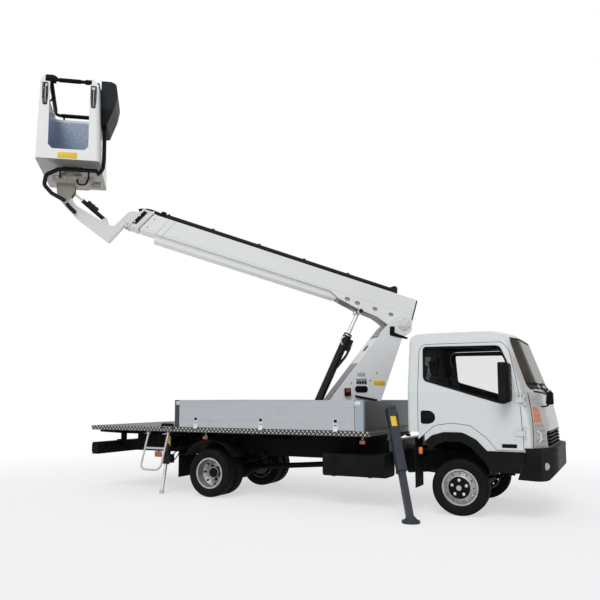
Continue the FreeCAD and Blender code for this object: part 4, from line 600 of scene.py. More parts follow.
# A band along the inside of an outline, raised by a thickness
def frameBand(bm, outline, axis, start, end, width, corner=0.03, steps=6):
    face = sheet(bm, outline, axis, start, corner, steps)
    ring = bmesh.ops.inset_region(bm, faces=[face], thickness=width, use_even_offset=True,
        use_boundary=True)["faces"]
    bmesh.ops.delete(bm, geom=[face], context="FACES_ONLY")
    grown = bmesh.ops.extrude_face_region(bm, geom=ring)["geom"]
    moved = [g for g in grown if isinstance(g, bmesh.types.BMVert)]
    bmesh.ops.translate(bm, vec=planes[axis](0, 0, end - start), verts=moved)
    ringEdges = {e for f in bm.faces for e in f.edges if set(f.verts) & set(moved)}
    longEdges = [e for e in ringEdges if e.calc_length() > 0.12]
    bmesh.ops.subdivide_edges(bm, edges=longEdges, cuts=8, use_grid_fill=True)


# The skin of CAD nodes, ready for rays
def skinOf(nodes, place=truckPlace):
    bm = bmesh.new()
    for node in nodes:
        bm.from_mesh(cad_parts[node].data)
    bmesh.ops.transform(bm, matrix=place.inverted(), verts=bm.verts)
    return BVHTree.FromBMesh(bm)


# Sets a piece that is drawn flat onto a skin; its heights above the flat stay
def layOn(bm, skin, outward):
    outward = Vector(outward)
    for vert in bm.verts:
        height = vert.co.dot(outward)
        start = vert.co - outward * height + outward * 3
        hit = skin.ray_cast(start, -outward)[0]
        if hit:
            vert.co = hit + outward * height


# A bent bar or hose through points, swept as a round section
def tube(points, radius, order=3):
    curve = bpy.data.curves.new("run", "CURVE")
    curve.dimensions = "3D"
    curve.bevel_depth = radius
    curve.bevel_resolution = 4
    curve.use_fill_caps = True
    line = curve.splines.new("NURBS")
    line.points.add(len(points) - 1)
    for point, where in zip(line.points, points):
        point.co = (*where, 1.0)
    line.use_endpoint_u = True
    line.order_u = order
    holder = bpy.data.objects.new("run", curve)
    mesh = bpy.data.meshes.new_from_object(holder)
    bpy.data.objects.remove(holder)
    bm = bmesh.new()
    bm.from_mesh(mesh)
    return bm


def bar(name, points, radius, look, body):
    keep(tube(points, radius), name, look, body, sharp=60)


# One piece from a list of shapes, each with its values
def build(name, look, body, shapes, slot=None, place=None):
    bm = bmesh.new()
    for shape, *values in shapes:
        shape(bm, *values)
    keep(bm, name, look, body, slot, place)


def boltRow(name, spots, direction, radius, height, look, body, slot=None):
    bm = bmesh.new()
    for spot in spots:
        drum(bm, spot, direction, radius, height, 6, radius * 0.12)
        drum(bm, Vector(spot) - Vector(direction) * height * 0.35, direction, radius * 1.4, height * 0.3, 20,
            height * 0.06)
    keep(bm, name, look, body, slot)


# Camera at the photograph's place
view = {"place": (1.758, -8.725, 1.349), "yaw": -26.555, "pitch": 5.482, "lens": 40.09,
        "shift": (0.0152, 0.0567)}
yaw, pitch = math.radians(view["yaw"]), math.radians(view["pitch"])
ahead = Vector((math.sin(yaw) * math.cos(pitch), math.cos(yaw) * math.cos(pitch), math.sin(pitch)))
cameraData = bpy.data.cameras.new("camera")
cameraData.lens = view["lens"]
cameraData.sensor_width = 36
cameraData.shift_x, cameraData.shift_y = view["shift"]
camera = addObject("camera", cameraData)
camera.rotation_mode = "QUATERNION"
camera.rotation_quaternion = ahead.to_track_quat("-Z", "Y")
camera.location = truckPlace @ Vector(view["place"])
bpy.context.scene.camera = camera
bpy.context.scene.view_settings.view_transform = "Standard"

# Pale floor, plain sky and two soft lamps
stage = {"floorSize": 60.0, "skyForCamera": 1.0, "skyForLight": 0.44, "floorGlow": 0.58,
         "lamps": (("sun", 1.15, 30.0, (42, 0, 12)), ("fill", 0.45, 50.0, (62, 0, 15)))}
world = bpy.data.worlds.new("sky")
bpy.context.scene.world = world
sky = Tree(world)
strength = sky.shown() * (stage["skyForCamera"] - stage["skyForLight"]) + stage["skyForLight"]
backdrop = sky.node("Background", {}, {"Color": rgb(1, 1, 1), "Strength": strength})
skyEnd = sky.tree.nodes.new("ShaderNodeOutputWorld")
sky.tree.links.new(backdrop.socket, skyEnd.inputs[0])
for name, power, spread, turned in stage["lamps"]:
    lampData = bpy.data.lights.new(name, "SUN")
    lampData.energy = power
    lampData.angle = math.radians(spread)
    addObject(name, lampData).rotation_euler = [math.radians(a) for a in turned]

floorMesh = bpy.data.meshes.new("floor")
bm = bmesh.new()
bmesh.ops.create_grid(bm, x_segments=1, y_segments=1, size=stage["floorSize"])
bmesh.ops.translate(bm, vec=(0, 0, -0.001), verts=bm.verts)
bm.to_mesh(floorMesh)
bm.free()
floorLook = Shader("paleFloor", Roughness=0.9, Base_Color=rgb(0.93, 0.93, 0.93))
away = floorLook.node("VectorMath", {"operation": "LENGTH"}, [floorLook.point()], 1).ramp(4.0, 10.0)
share = floorLook.shown() * (away * (1.0 - stage["floorGlow"]) + stage["floorGlow"])
glow = floorLook.node("Emission", {}, {"Color": rgb(1, 1, 1), "Strength": 1.0})
lit = Link(floorLook, floorLook.surface.outputs[0])
mixed = floorLook.node("MixShader", {}, [share, lit, glow])
floorLook.tree.links.new(mixed.socket, floorLook.end.inputs[0])
floorMesh.materials.append(floorLook.material)
floor = addObject("floor", floorMesh)
print("camera, sky and floor ready")

# CAD nodes that stay, with their finishes
worn = {
    "chassisBlack": ["chassis_frame", "subframe", "tail_beam", "front_axle", "rear_axle", "engine_and_drive",
                     "knuckle_left", "knuckle_right"],
    "rustySteel": ["exhaust"],
    "trimBlack": ["fuel_tank", "lower_trim", "mudguards", "mirror_left", "mirror_right"],
    "bumperGrey": ["front_bumper"], "dashGrey": ["cab_interior"],
    "deepBlack": ["grille", "basket_rail", "entry_bar"],
    "cabWhite": ["cab_shell", "door_left", "door_right"], "sidePane": ["door_glass_left", "door_glass_right"],
    "screenPane": ["cab_glass"], "chequer": ["load_floor"], "post": ["bed_posts"],
    "board": ["side_board_left", "side_board_right", "rear_board"], "columnWhite": ["slewing_column"],
    "boomWhite": ["boom_outer"], "headWhite": ["boom_middle", "boom_inner"],
    "carrierPaintedShade": ["basket_carrier"],
    "basketWhite": ["basket_shell"], "console": ["basket_console"],
    "legSlate": ["outrigger_frames", "front_leg_left", "front_leg_right"],
    "steel": ["rear_leg_left", "rear_leg_right"],
    "alloy": ["ladder"], "cylinderBlack": ["lift_barrel", "level_barrel"],
    "chrome": ["lift_rod", "level_rod"],
    "sleeve": ["boom_hose_pipes", "carrier_hose", "arm_hose"], "lamps": ["lamps"],
    "wheel": ["front_rim_left", "front_rim_right", "rear_rims_left", "rear_rims_right"],
}
for look, nodes in worn.items():
    for node in nodes:
        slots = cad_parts[node].data.materials
        for i in range(len(slots)):
            slots[i] = looks[look]
print("nodes dressed:", sum(len(nodes) for nodes in worn.values()))

# Tyres: a spun section with grooves, then cross cuts in the outer ribs
tyreCut = {"steps": 80, "cutDepth": 0.006, "axleHeight": 0.325, "frontY": 0.775, "twinY": (0.834, 0.61),
           "rearX": -3.4,
           "section": [(0.074, 0.196), (0.074, 0.2095), (0.081, 0.211), (0.09, 0.226), (0.0965, 0.246),
                       (0.0972, 0.266), (0.0955, 0.283), (0.0962, 0.286), (0.0935, 0.298), (0.0865, 0.312),
                       (0.078, 0.3215), (0.058, 0.3242), (0.055, 0.3155), (0.048, 0.3155), (0.045, 0.3245),
                       (0.024, 0.3248), (0.021, 0.316), (0.014, 0.316), (0.011, 0.3249)]}
axleHeight = tyreCut["axleHeight"]


def tyre(name, node, wheels, body):
    bm = bmesh.new()
    half = tyreCut["section"]
    outline = half + [(-a, r) for a, r in reversed(half)]
    for x, y in wheels:
        line = [bm.verts.new((x, y + a, axleHeight + r)) for a, r in outline]
        edges = [bm.edges.new(pair) for pair in zip(line, line[1:])]
        bmesh.ops.spin(bm, geom=line + edges, cent=(x, y, axleHeight), axis=(0, 1, 0), angle=2 * math.pi,
            steps=tyreCut["steps"], use_merge=True)
    bmesh.ops.remove_doubles(bm, verts=bm.verts, dist=0.00005)
    bmesh.ops.recalc_face_normals(bm, faces=bm.faces)
    cuts = []
    for face in bm.faces:
        middle = face.calc_center_median()
        for x, y in wheels:
            radius = math.hypot(middle.x - x, middle.z - axleHeight)
            if radius > 0.3165 and 0.056 < abs(middle.y - y) < 0.09:
                angle = math.atan2(middle.z - axleHeight, middle.x - x)
                if round(angle / (2 * math.pi) * tyreCut["steps"] - 0.5) % 2 == 0:
                    cuts.append(face)
    bmesh.ops.inset_individual(bm, faces=cuts, thickness=0.0016, depth=-tyreCut["cutDepth"])
    piece = keep(bm, name, "tyre", body, sharp=30)
    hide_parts(node)


for side, sign in sides:
    tyre("frontTyre." + side, "front_tyre_" + side, [(0.0, sign * tyreCut["frontY"])], "front_wheel_" + side)
    tyre("rearTyres." + side, "rear_tyres_" + side, [(tyreCut["rearX"], sign * y) for y in tyreCut["twinY"]],
        "rear_wheels_" + side)
print("tyres spun")

# Hubs: black centre plate and bright nuts in front, dark hub and nuts in the rear dish
hub = {"nutCircle": 0.086, "nutRadius": 0.0125, "nuts": 5, "plateRadius": 0.126, "capRadius": 0.036,
       "rearCircle": 0.098, "rearDepth": 0.731, "rearCap": 0.066}
for side, sign in sides:
    out = Vector((0, sign, 0))
    face = sign * 0.888
    build("frontHubPlate." + side, "deepBlack", "front_wheel_" + side, [(drum, (0, face, axleHeight), out,
        hub["plateRadius"], 0.006, 48, 0.0025), (drum, (0, face + sign * 0.008, axleHeight), out,
        hub["capRadius"], 0.014, 32, 0.004)])
    spots = []
    rearSpots = []
    for i in range(hub["nuts"]):
        angle = math.radians(90 + i * 360 / hub["nuts"])
        spots.append((math.cos(angle) * hub["nutCircle"], face + sign * 0.01,
            axleHeight + math.sin(angle) * hub["nutCircle"]))
        rearSpots.append((tyreCut["rearX"] - math.cos(angle) * hub["rearCircle"],
            sign * (hub["rearDepth"] + 0.014), axleHeight - math.sin(angle) * hub["rearCircle"]))
    boltRow("frontWheelNuts." + side, spots, out, hub["nutRadius"], 0.014, "steel", "front_wheel_" + side)
    boltRow("rearWheelNuts." + side, rearSpots, out, 0.015, 0.022, "chassisBlack", "rear_wheels_" + side,
        slot="running_gear")
    build("rearHub." + side, "chassisBlack", "rear_wheels_" + side, [(drum, (tyreCut["rearX"], sign * 0.806,
        axleHeight), out, hub["rearCap"], 0.012, 40, 0.004)], slot="running_gear")
print("hubs done")

# Cab: window rubbers, panel joints, handles, plates, wipers, mirrors and lamp rings on its skin
cab = {"sideWindow": [(-0.415, 1.966), (0.481, 1.954), (0.573, 1.752), (0.612, 1.4), (0.561, 1.277),
                      (0.47, 1.291), (-0.399, 1.557)],
       "screen": [(-0.79, 1.446), (0.79, 1.446), (0.731, 2.056), (-0.731, 2.056)],
       "joint": [(0.772, 1.412), (0.8, 1.25), (0.823, 1.079), (0.828, 0.93), (0.828, 0.775)],
       "handle": [(-0.4, 1.047), (-0.335, 1.047), (-0.285, 1.062), (-0.258, 1.092), (-0.253, 1.125),
                  (-0.258, 1.158), (-0.285, 1.188), (-0.335, 1.203), (-0.4, 1.203), (-0.418, 1.194),
                  (-0.4245, 1.175), (-0.4245, 1.075), (-0.418, 1.056)]}
shellSkin = skinOf(["cab_shell", "cab_glass", "lamps", "grille"])
for side, sign in sides:
    out = Vector((0, sign, 0))
    doorSkin = skinOf(["door_" + side, "door_glass_" + side])
    wholeSide = skinOf(["door_" + side, "door_glass_" + side, "cab_shell", "lamps"])
    build("windowRubber." + side, "seal", "door_" + side, [(frameBand, cab["sideWindow"], "y", 0.0,
        sign * 0.004, 0.024, 0.045), (layOn, doorSkin, out)])
    bm = tube([(x, 0, z) for x, z in cab["joint"]], 0.0032, 2)
    cutLong(bm, 0.05, 4)
    layOn(bm, wholeSide, out)
    keep(bm, "pillarJoint." + side, "seal", "chassis", sharp=60)
    build("doorHandle." + side, "deepBlack", "door_" + side, [(plate, cab["handle"], "y", sign * 0.9155,
        sign * 0.9245, 0.003), (frameBand, cab["handle"], "y", sign * 0.924, sign * 0.93, 0.01, 0.004, 2),
        (block, (-0.345, sign * 0.927, 1.125), (0.13, 0.01, 0.046), 0.004)])
    build("doorPlate." + side, "deepBlack", "door_" + side, [(plate, oblong(0.496, 0.798, 0.655, 0.84), "y",
        -sign * 0.002, sign * 0.004, 0.0012, 0.006), (cutLong, 0.1, 3), (layOn, doorSkin, out)])
    build("mirrorFace." + side, "mirror", "door_" + side, [(plate, oblong(sign * 0.966, 1.318, sign * 1.134,
        1.728), "x", 0.5036, 0.509, 0.001, 0.03)])
    build("mirrorBack." + side, "deepBlack", "door_" + side, [(plate, oblong(sign * 0.956, 1.306,
        sign * 1.144, 1.739), "x", 0.56, 0.628, 0.028, 0.05)])
    bm = tube([(0.6, sign * 1.0, 1.6), (0.612, sign * 0.95, 1.6), (0.6, sign * 0.905, 1.62),
        (0.585, sign * 0.855, 1.635)], 0.01)
    bmesh.ops.triangulate(bm, faces=[f for f in bm.faces if len(f.verts) > 4])
    keep(bm, "mirrorStay." + side, "deepBlack", "door_" + side, sharp=60)
for side, sign in sides:
    lampFace = onSide(sign, (0.78, 0.62, 0.02)).normalized()
    spot = onSide(sign, (0.845, 0.815, 0.92))
    hit = shellSkin.ray_cast(spot + lampFace, -lampFace)[0]
    bm = bmesh.new()
    drum(bm, hit - lampFace * 0.006, lampFace, 0.074, 0.014, 40, 0.004)
    bowl = [f for f in bm.faces if len(f.verts) > 8 and abs(f.normal.dot(lampFace)) > 0.9]
    bmesh.ops.inset_region(bm, faces=bowl, thickness=0.008, depth=-0.004)
    keep(bm, "headlampRing." + side, "chrome", "chassis")
    build("headlampGlass." + side, "clearLens", "chassis", [(drum, hit - lampFace * 0.002, lampFace, 0.06,
        0.01, 40, 0.004, 0.052)])
build("screenRubber", "seal", "chassis", [(frameBand, cab["screen"], "x", 0.0, 0.004, 0.026, 0.07),
    (layOn, shellSkin, (1, 0, 0))])
cowl = {"line": [(-0.7, 1.425), (-0.35, 1.405), (0.0, 1.4), (0.35, 1.405), (0.7, 1.425)],
        "arms": [((-0.1, 1.43), (-0.62, 1.53)), ((0.5, 1.43), (-0.02, 1.53))]}
bm = tube([(0, y, z) for y, z in cowl["line"]], 0.01, 3)
layOn(bm, shellSkin, (1, 0, 0))
keep(bm, "cowlStrip", "seal", "chassis", sharp=60)
for i, (foot, tip) in enumerate(cowl["arms"]):
    bm = tube([(0.018, *foot), (0.022, (foot[0] + tip[0]) / 2, (foot[1] + tip[1]) / 2), (0.018, *tip)], 0.006,
        2)
    block(bm, (0.014, foot[0], foot[1]), (0.024, 0.034, 0.034), 0.006)
    block(bm, (0.012, tip[0] + 0.06, tip[1] - 0.012), (0.012, 0.4, 0.014), 0.003)
    cutLong(bm, 0.08, 6)
    layOn(bm, shellSkin, (1, 0, 0))
    keep(bm, "wiper%d" % (i + 1), "deepBlack", "chassis", sharp=60)
cornerMirror = {"case": [(0.94, 1.276), (1.022, 1.276), (1.018, 1.42), (0.952, 1.42)], "y": (-0.65, -0.56)}
build("cornerMirror", "deepBlack", "chassis", [(plate, cornerMirror["case"], "y", cornerMirror["y"][0],
    cornerMirror["y"][1], 0.012, 0.02)])
bar("cornerMirrorArm", [(0.985, -0.6, 1.3), (0.96, -0.6, 1.262), (0.905, -0.62, 1.25), (0.855, -0.63, 1.262)],
    0.009, "deepBlack", "chassis")
bm = bmesh.new()
plate(bm, oblong(-0.26, 0.585, 0.26, 0.695), "x", 0.0, 0.008, 0.002, 0.008)
bumperSkin = skinOf(["front_bumper"])
layOn(bm, bumperSkin, (1, 0, 0))
holdBack(bm, 1.044)
keep(bm, "numberPlate", "label", "chassis")
for side, sign in sides:
    aim = onSide(sign, (0.8, 0.6, 0)).normalized()
    seat = onSide(sign, (0.93, 0.8, 0.6))
    hit = bumperSkin.ray_cast(seat + aim, -aim)[0]
    build("fogRing." + side, "deepBlack", "chassis", [(drum, hit - aim * 0.004, aim, 0.058, 0.012, 32,
        0.004)])
    build("fogGlass." + side, "clearLens", "chassis", [(drum, hit + aim * 0.001, aim, 0.042, 0.008, 32,
        0.003)])
    bm = tube([(0.7, 0, 0.56), (0.745, 0, 0.69), (0.735, 0, 0.775)], 0.003, 2)
    layOn(bm, bumperSkin, (0, sign, 0))
    keep(bm, "bumperJoint." + side, "seal", "chassis", sharp=60)
bm = tube([(0.012, y, 0.77) for y in (-0.66, -0.33, 0.0, 0.33, 0.66)], 0.004, 2)
layOn(bm, bumperSkin, (1, 0, 0))
holdBack(bm, 1.0445)
keep(bm, "bumperGroove", "seal", "chassis", sharp=60)
print("cab fittings done")

# Seats: crowned pads with a seam roll, made by subdivision from blocks
seatPads = {"crown": 0.16, "pinch": 0.1,
            "rows": [("cushions", 0.8, (-0.095, 1.045), (0.42, 0.1), 0.0, ((0.46, 0.44), (-0.3, 0.76))),
                     ("backs", 0.8, (-0.318, 1.36), (0.095, 0.53), -9.5, ((0.46, 0.44), (-0.3, 0.76))),
                     ("heads", 0.9, (-0.378, 1.725), (0.075, 0.17), -9.5, ((0.46, 0.235), (-0.46, 0.235)))]}


def pad(name, centre, size, lean):
    bm = bmesh.new()
    bmesh.ops.create_cube(bm, size=1.0)
    bmesh.ops.subdivide_edges(bm, edges=bm.edges[:], cuts=5, use_grid_fill=True)
    thin = min(range(3), key=lambda i: size[i])
    wide = [i for i in range(3) if i != thin]
    for vert in bm.verts:
        a, b = vert.co[wide[0]] * 2, vert.co[wide[1]] * 2
        crown = (1 - a * a) * (1 - b * b)
        vert.co[thin] *= 1 - seatPads["crown"] + seatPads["crown"] * crown - 0.18 * max(abs(a), abs(b)) ** 6
        for i, other in ((wide[0], b), (wide[1], a)):
            vert.co[i] *= 1 - seatPads["pinch"] * 0.35 * (1 - other * other) * abs(vert.co[i] * 2) ** 4
    bmesh.ops.scale(bm, vec=size, verts=bm.verts)
    bmesh.ops.rotate(bm, matrix=Matrix.Rotation(math.radians(lean), 3, "Y"), verts=bm.verts)
    bmesh.ops.translate(bm, vec=centre, verts=bm.verts)
    piece = keep(bm, name, "seatCloth", "chassis", sharp=180)
    softness = piece.modifiers.new("softness", "SUBSURF")
    softness.levels = softness.render_levels = 2
    return piece


padsMade = []
for group, fill, (x, z), (depth, height), lean, spots in seatPads["rows"]:
    for i, (y, width) in enumerate(spots):
        padsMade.append(pad("seat.%s%d" % (group, i + 1), (x, y, z), (depth, width, height), lean))
for piece in padsMade:
    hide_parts("cab_seats")
print("seats done")

# Column: controls on its right side, front slot, ear discs, elbow strip and the ring's teeth
panel = {"face": 0.21,
         "parts": [("columnTag", "label", oblong(-0.355, 1.65, -0.24, 1.705), 0.002),
                   ("gaugePanel", "label", oblong(-0.373, 1.541, -0.22, 1.62), 0.003),
                   ("columnNotice", "yellow", [(-0.64, 1.522), (-0.47, 1.53), (-0.47, 1.596), (-0.64, 1.588)],
                    0.002),
                   ("socketBox", "deepBlack", oblong(-0.132, 1.38, -0.052, 1.486), 0.05),
                   ("socketFace", "socketRed", oblong(-0.122, 1.43, -0.064, 1.476), 0.0545)]}
for name, look, outline, height in panel["parts"]:
    build(name, look, "column", [(plate, outline, "y", panel["face"] - 0.0005, panel["face"] + height, 0.0008,
        0.006)], slot="plastic")
gauges = (-0.355, -0.317, -0.279, -0.241)
build("gaugeRings", "deepBlack", "column", [(block, (u, 0.2155, 1.58), (0.028, 0.01, 0.066), 0.003)
    for u in gauges])
build("gaugeFaces", "label", "column", [(block, (u, 0.2208, 1.594), (0.018, 0.002, 0.026), 0.0006)
    for u in gauges])
bm = bmesh.new()
oval = oblong(-0.387, 1.428, -0.203, 1.518)
plate(bm, oval, "y", 0.2095, 0.212, 0.0, 0.043)
frameBand(bm, oval, "y", 0.2115, 0.219, 0.009, 0.043, 8)
for u in (-0.335, -0.295, -0.255):
    drum(bm, (u, 0.218, 1.473), (0, 1, 0), 0.015, 0.014, 24, 0.003)
keep(bm, "ovalRecess", "deepBlack", "column")
build("hoseTray", "deepBlack", "column", [(plate, [(-0.198, 1.392), (-0.205, 1.366), (-0.505, 1.306),
    (-0.515, 1.332)], "y", 0.2095, 0.262, 0.003)])
boltRow("columnBolt", [(-0.422, 0.2135, 1.595), (-0.15, 0.2135, 1.56), (-0.52, 0.2135, 1.7)], (0, 1, 0), 0.01,
    0.008, "zinc", "column")
bm = bmesh.new()
plate(bm, oblong(-0.05, 2.017, 0.05, 2.099), "x", 0.0, 0.003, 0.001, 0.03)
columnSkin = skinOf(["slewing_column"], columnPlace)
layOn(bm, columnSkin, (1, 0, 0))
keep(bm, "frontSlot", "deepBlack", "column")
ear = {"u": -ruler["pivotBack"], "z": ruler["pivotZ"], "boltCircle": 0.08, "bolts": 6}
for name, sign in (("right", 1), ("left", -1)):
    out = (0, sign, 0)
    build("earDisc." + name, "headWhite", "column", [(drum, (ear["u"], sign * 0.213, ear["z"]), out, 0.098,
        0.008, 56, 0.003), (drum, (ear["u"], sign * 0.221, ear["z"]), out, 0.056, 0.012, 40, 0.004)])
    turns = [math.radians(30 + 360 / ear["bolts"] * i) for i in range(ear["bolts"])]
    spots = [(ear["u"] + math.cos(a) * ear["boltCircle"], sign * 0.22,
        ear["z"] + math.sin(a) * ear["boltCircle"]) for a in turns]
    boltRow("earBolts." + name, spots, out, 0.0085, 0.008, "zinc", "column")
build("elbowStrip", "deepBlack", "column", [(plate, [(-0.723, 2.354), (-0.72, 2.232), (-0.968, 2.178),
    (-0.991, 2.199), (-0.789, 2.268), (-0.791, 2.356)], "y", 0.2095, 0.222, 0.002, 0.006)])
ring = {"teeth": 72, "radius": 0.405, "level": 0.985}
bm = bmesh.new()
for k in range(ring["teeth"]):
    angle = math.radians(k * 360 / ring["teeth"])
    spot = Vector((ruler["slewX"] + math.cos(angle) * ring["radius"], math.sin(angle) * ring["radius"],
        ring["level"]))
    teeth = block(bm, (0, 0, 0), (0.026, 0.016, 0.032), 0.002, 1)
    bmesh.ops.rotate(bm, matrix=Matrix.Rotation(angle, 3, "Z"), verts=teeth)
    bmesh.ops.translate(bm, vec=spot, verts=teeth)
keep(bm, "ringTeeth", "zinc", "chassis")
print("column fittings done")

# Lift cylinder: hoses, fittings and rod-eye caps; boom: end plate, collars, gussets and clamps
liftBase = Vector((0.37, 0, 1.085))
liftEye = (0.643, 0, 0.002)
liftAim = (columnPlace.inverted() @ (boomPlace @ Vector(liftEye)) - liftBase).normalized()
towardCab = Vector((-liftAim.z, 0, liftAim.x))
for name, sign, start in (("upper", 1, 0.3), ("lower", -1, 0.34)):
    route = [(1.13, 0.105, 0.02), (1.02, 0.108, 0.028), (0.85, 0.06, 0.062), (0.7, 0.01, 0.078),
        (start, 0.0, 0.08), (start - 0.12, 0.0, 0.08)]
    bar("liftHose." + name, [liftBase + liftAim * along + towardCab * off + Vector((0, sign * aside, 0))
        for along, off, aside in route], 0.011, "sleeve", "lift_barrel")
build("liftFittings", "steel", "lift_barrel", [*[(drum, liftBase + liftAim * share + towardCab * 0.112,
    towardCab, 0.016, 0.022, 6, 0.002) for share in (1.115, 1.165)], (drum, liftBase + liftAim * 1.262,
    liftAim, 0.064, 0.012, 40, 0.003)])
bar("headPipe", [(-0.075, 0.045, 2.1), (-0.055, 0.052, 2.13), (-0.05, 0.06, 2.17), (-0.066, 0.066, 2.2),
    (-0.1, 0.066, 2.215)], 0.01, "headWhite", "lift_barrel")
build("eyeBossCaps", "cylinderBlack", "boom_outer", [(drum, (liftEye[0], v, liftEye[2]), (0, 1, 0), 0.03,
    0.012, 36, 0.004) for v in (0.1555, -0.1555)])
endPlate = {"outline": oblong(-0.147, -0.072, 0.147, 0.4), "s": (-0.128, -0.1095)}
build("boomEndPlate", "deepBlack", "boom_outer", [(plate, endPlate["outline"], "x", endPlate["s"][0],
    endPlate["s"][1], 0.002, 0.01)])
boltRow("endPlateBolts", [(-0.13, v, t) for v in (-0.125, 0.125) for t in (-0.04, 0.17, 0.37)], (-1, 0, 0),
    0.009, 0.006, "zinc", "boom_outer")
mouth = {"bolts": [(3.736, 0.345), (3.797, 0.214)], "head": [(3.923, 0.327), (3.965, 0.224)]}
for sign, name in ((1, "right"), (-1, "left")):
    boltRow("mouthBolts." + name, [(s, sign * 0.1515, t) for s, t in mouth["bolts"]], (0, sign, 0), 0.013,
        0.01, "zinc", "boom_outer")
    boltRow("collarBolts." + name, [(s, sign * 0.1495, t) for s, t in mouth["head"]], (0, sign, 0), 0.013,
        0.01, "zinc", "boom_middle")
bm = bmesh.new()
reach = 0.012
for s in (3.655, 3.565):
    for near, far in ((0.1488, 0.1525), (-0.1525, -0.1488)):
        plate(bm, [(s, 0.156), (s + reach, 0.156), (s + reach - 0.117, 0.397), (s - 0.117, 0.397)], "y", near,
            far, 0.001)
keep(bm, "mouthRibs", "headWhite", "boom_outer")
bm = bmesh.new()
for s in (3.893, 4.016):
    for near, far in ((0.1465, 0.158), (-0.158, -0.1465)):
        plate(bm, [(s, 0.146), (s + 0.026, 0.146), (s - 0.112, 0.43), (s - 0.138, 0.43)], "y", near, far,
            0.002)
    plate(bm, oblong(s - 0.138, 0.429, s - 0.112, 0.44), "y", -0.158, 0.158, 0.002)
keep(bm, "collarRibs", "headWhite", "boom_middle")
build("collarPads", "deepBlack", "boom_middle", [(plate, [(3.935, 0.2), (3.998, 0.2), (3.9, 0.4),
    (3.84, 0.4)], "y", near, far, 0.0, 0.012) for near, far in ((0.1465, 0.153), (-0.153, -0.1465))])
bm = bmesh.new()
for v in (0.08, -0.08):
    plate(bm, [(4.01, 0.14), (4.085, 0.14), (4.06, 0.372), (3.985, 0.372)], "y", v - 0.004, v + 0.004, 0.001)
    drum(bm, (4.045, v * 1.08, 0.19), (0, 1, 0), 0.014, 0.01, 6, 0.001)
    drum(bm, (4.03, v * 1.08, 0.31), (0, 1, 0), 0.014, 0.01, 6, 0.001)
keep(bm, "armGussets", "headWhite", "boom_inner")
hoseLanes = (0.062, 0.122)
build("hoseHeadClamp", "deepBlack", "boom_outer", [(plate, [(3.645, 0.437), (3.662, 0.437), (3.662, 0.48),
    (3.6, 0.48), (3.6, 0.437)], "y", 0.03, 0.15, 0.004), *[(drum, (3.64, v, 0.455), (1, 0, 0), 0.02, 0.06, 24,
    0.004) for v in hoseLanes]])
for i, v in enumerate(hoseLanes):
    bar("headHose%d" % (i + 1), [(3.59, v, 0.437), (3.7, v, 0.44), (3.8, v * 0.9, 0.455),
        (3.9, v * 0.6, 0.446), (3.97, v * 0.5, 0.418)], 0.016, "sleeve", "boom_outer")
pipes = {"clamps": (0.96, 1.62, 2.28, 2.94), "lanes": (0.04, 0.092, 0.144)}
bm = bmesh.new()
for s in pipes["clamps"]:
    block(bm, (s, pipes["lanes"][1], 0.468), (0.04, 0.126, 0.008), 0.002)
    for v in pipes["lanes"]:
        drum(bm, (s, v, 0.4755), (0, 0, 1), 0.007, 0.007, 6, 0.001)
keep(bm, "pipeClamps", "zinc", "boom_outer")
print("boom fittings done")

# Basket: notice, grips in the slots, bar and rail sleeves, hoses, control box and level fittings
basket = {"u": 3.655, "low": 4.3795, "height": 1.013}
basketRim = basket["low"] + basket["height"]
basketSkin = skinOf(["basket_shell"], columnPlace)
build("basketNotice", "yellow", "basket", [(plate, oblong(3.536, 4.392, 3.776, 4.47), "y", 0.0, 0.0025,
    0.0008, 0.008), (layOn, basketSkin, (0, 1, 0))])
grip = {"frame": [(-0.027, -0.312), (0.027, -0.312), (0.036, -0.2), (0.036, -0.018), (-0.036, -0.018),
                  (-0.036, -0.2)],
        "back": oblong(-0.03, -0.312, 0.03, -0.02), "spots": (("rear", -0.3), ("front", 0.296)),
        "bar": [(0.448, -0.282), (0.46, -0.26), (0.463, -0.16), (0.46, -0.06), (0.448, -0.04)]}
for name, off in grip["spots"]:
    u = basket["u"] + off
    build("gripFrame." + name, "deepBlack", "basket", [
        (frameBand, shifted(u, basketRim, grip["frame"]), "y", 0.4745, 0.48, 0.011, 0.012, 3),
        (plate, shifted(u, basketRim, grip["back"]), "y", 0.4435, 0.448, 0.001)])
    bar("grip." + name, [(u, v, basketRim + t) for v, t in grip["bar"]], 0.008, "label", "basket")
catch = {"u": 0.278, "level": 0.05, "v": 0.421,
         "plate": [(-0.125, -0.026), (-0.01, -0.047), (0.022, -0.034), (0.034, -0.006), (0.032, 0.03),
                   (0.012, 0.053), (-0.075, 0.053), (-0.125, 0.026)],
         "cap": [(-0.12, -0.022), (-0.01, -0.04), (0.026, 0.0), (0.01, 0.046), (-0.07, 0.046), (-0.12, 0.02)]}
pinU, barLevel = basket["u"] + catch["u"], basketRim + catch["level"]
build("barFittings", "deepBlack", "entry_bar", [
    (plate, shifted(pinU, barLevel, catch["plate"]), "y", 0.4435, 0.4465, 0.001),
    (plate, shifted(pinU, barLevel, catch["cap"]), "y", 0.4425, 0.4475, 0.002, 0.006),
    (drum, (basket["u"] + 0.0025, catch["v"], barLevel), (1, 0, 0), 0.0275, 0.275, 32, 0.006),
    (drum, (basket["u"] - 0.235, catch["v"], barLevel), (1, 0, 0), 0.0315, 0.09, 32, 0.004)])
farRail = {"v": -0.753, "level": 0.062, "radius": 0.0285, "cornerU": 0.342}
railLevel = basketRim + farRail["level"]
skewed = Vector((-0.095, 1.118, 0)).normalized()
corner = Vector((basket["u"] + farRail["cornerU"], farRail["v"], railLevel))
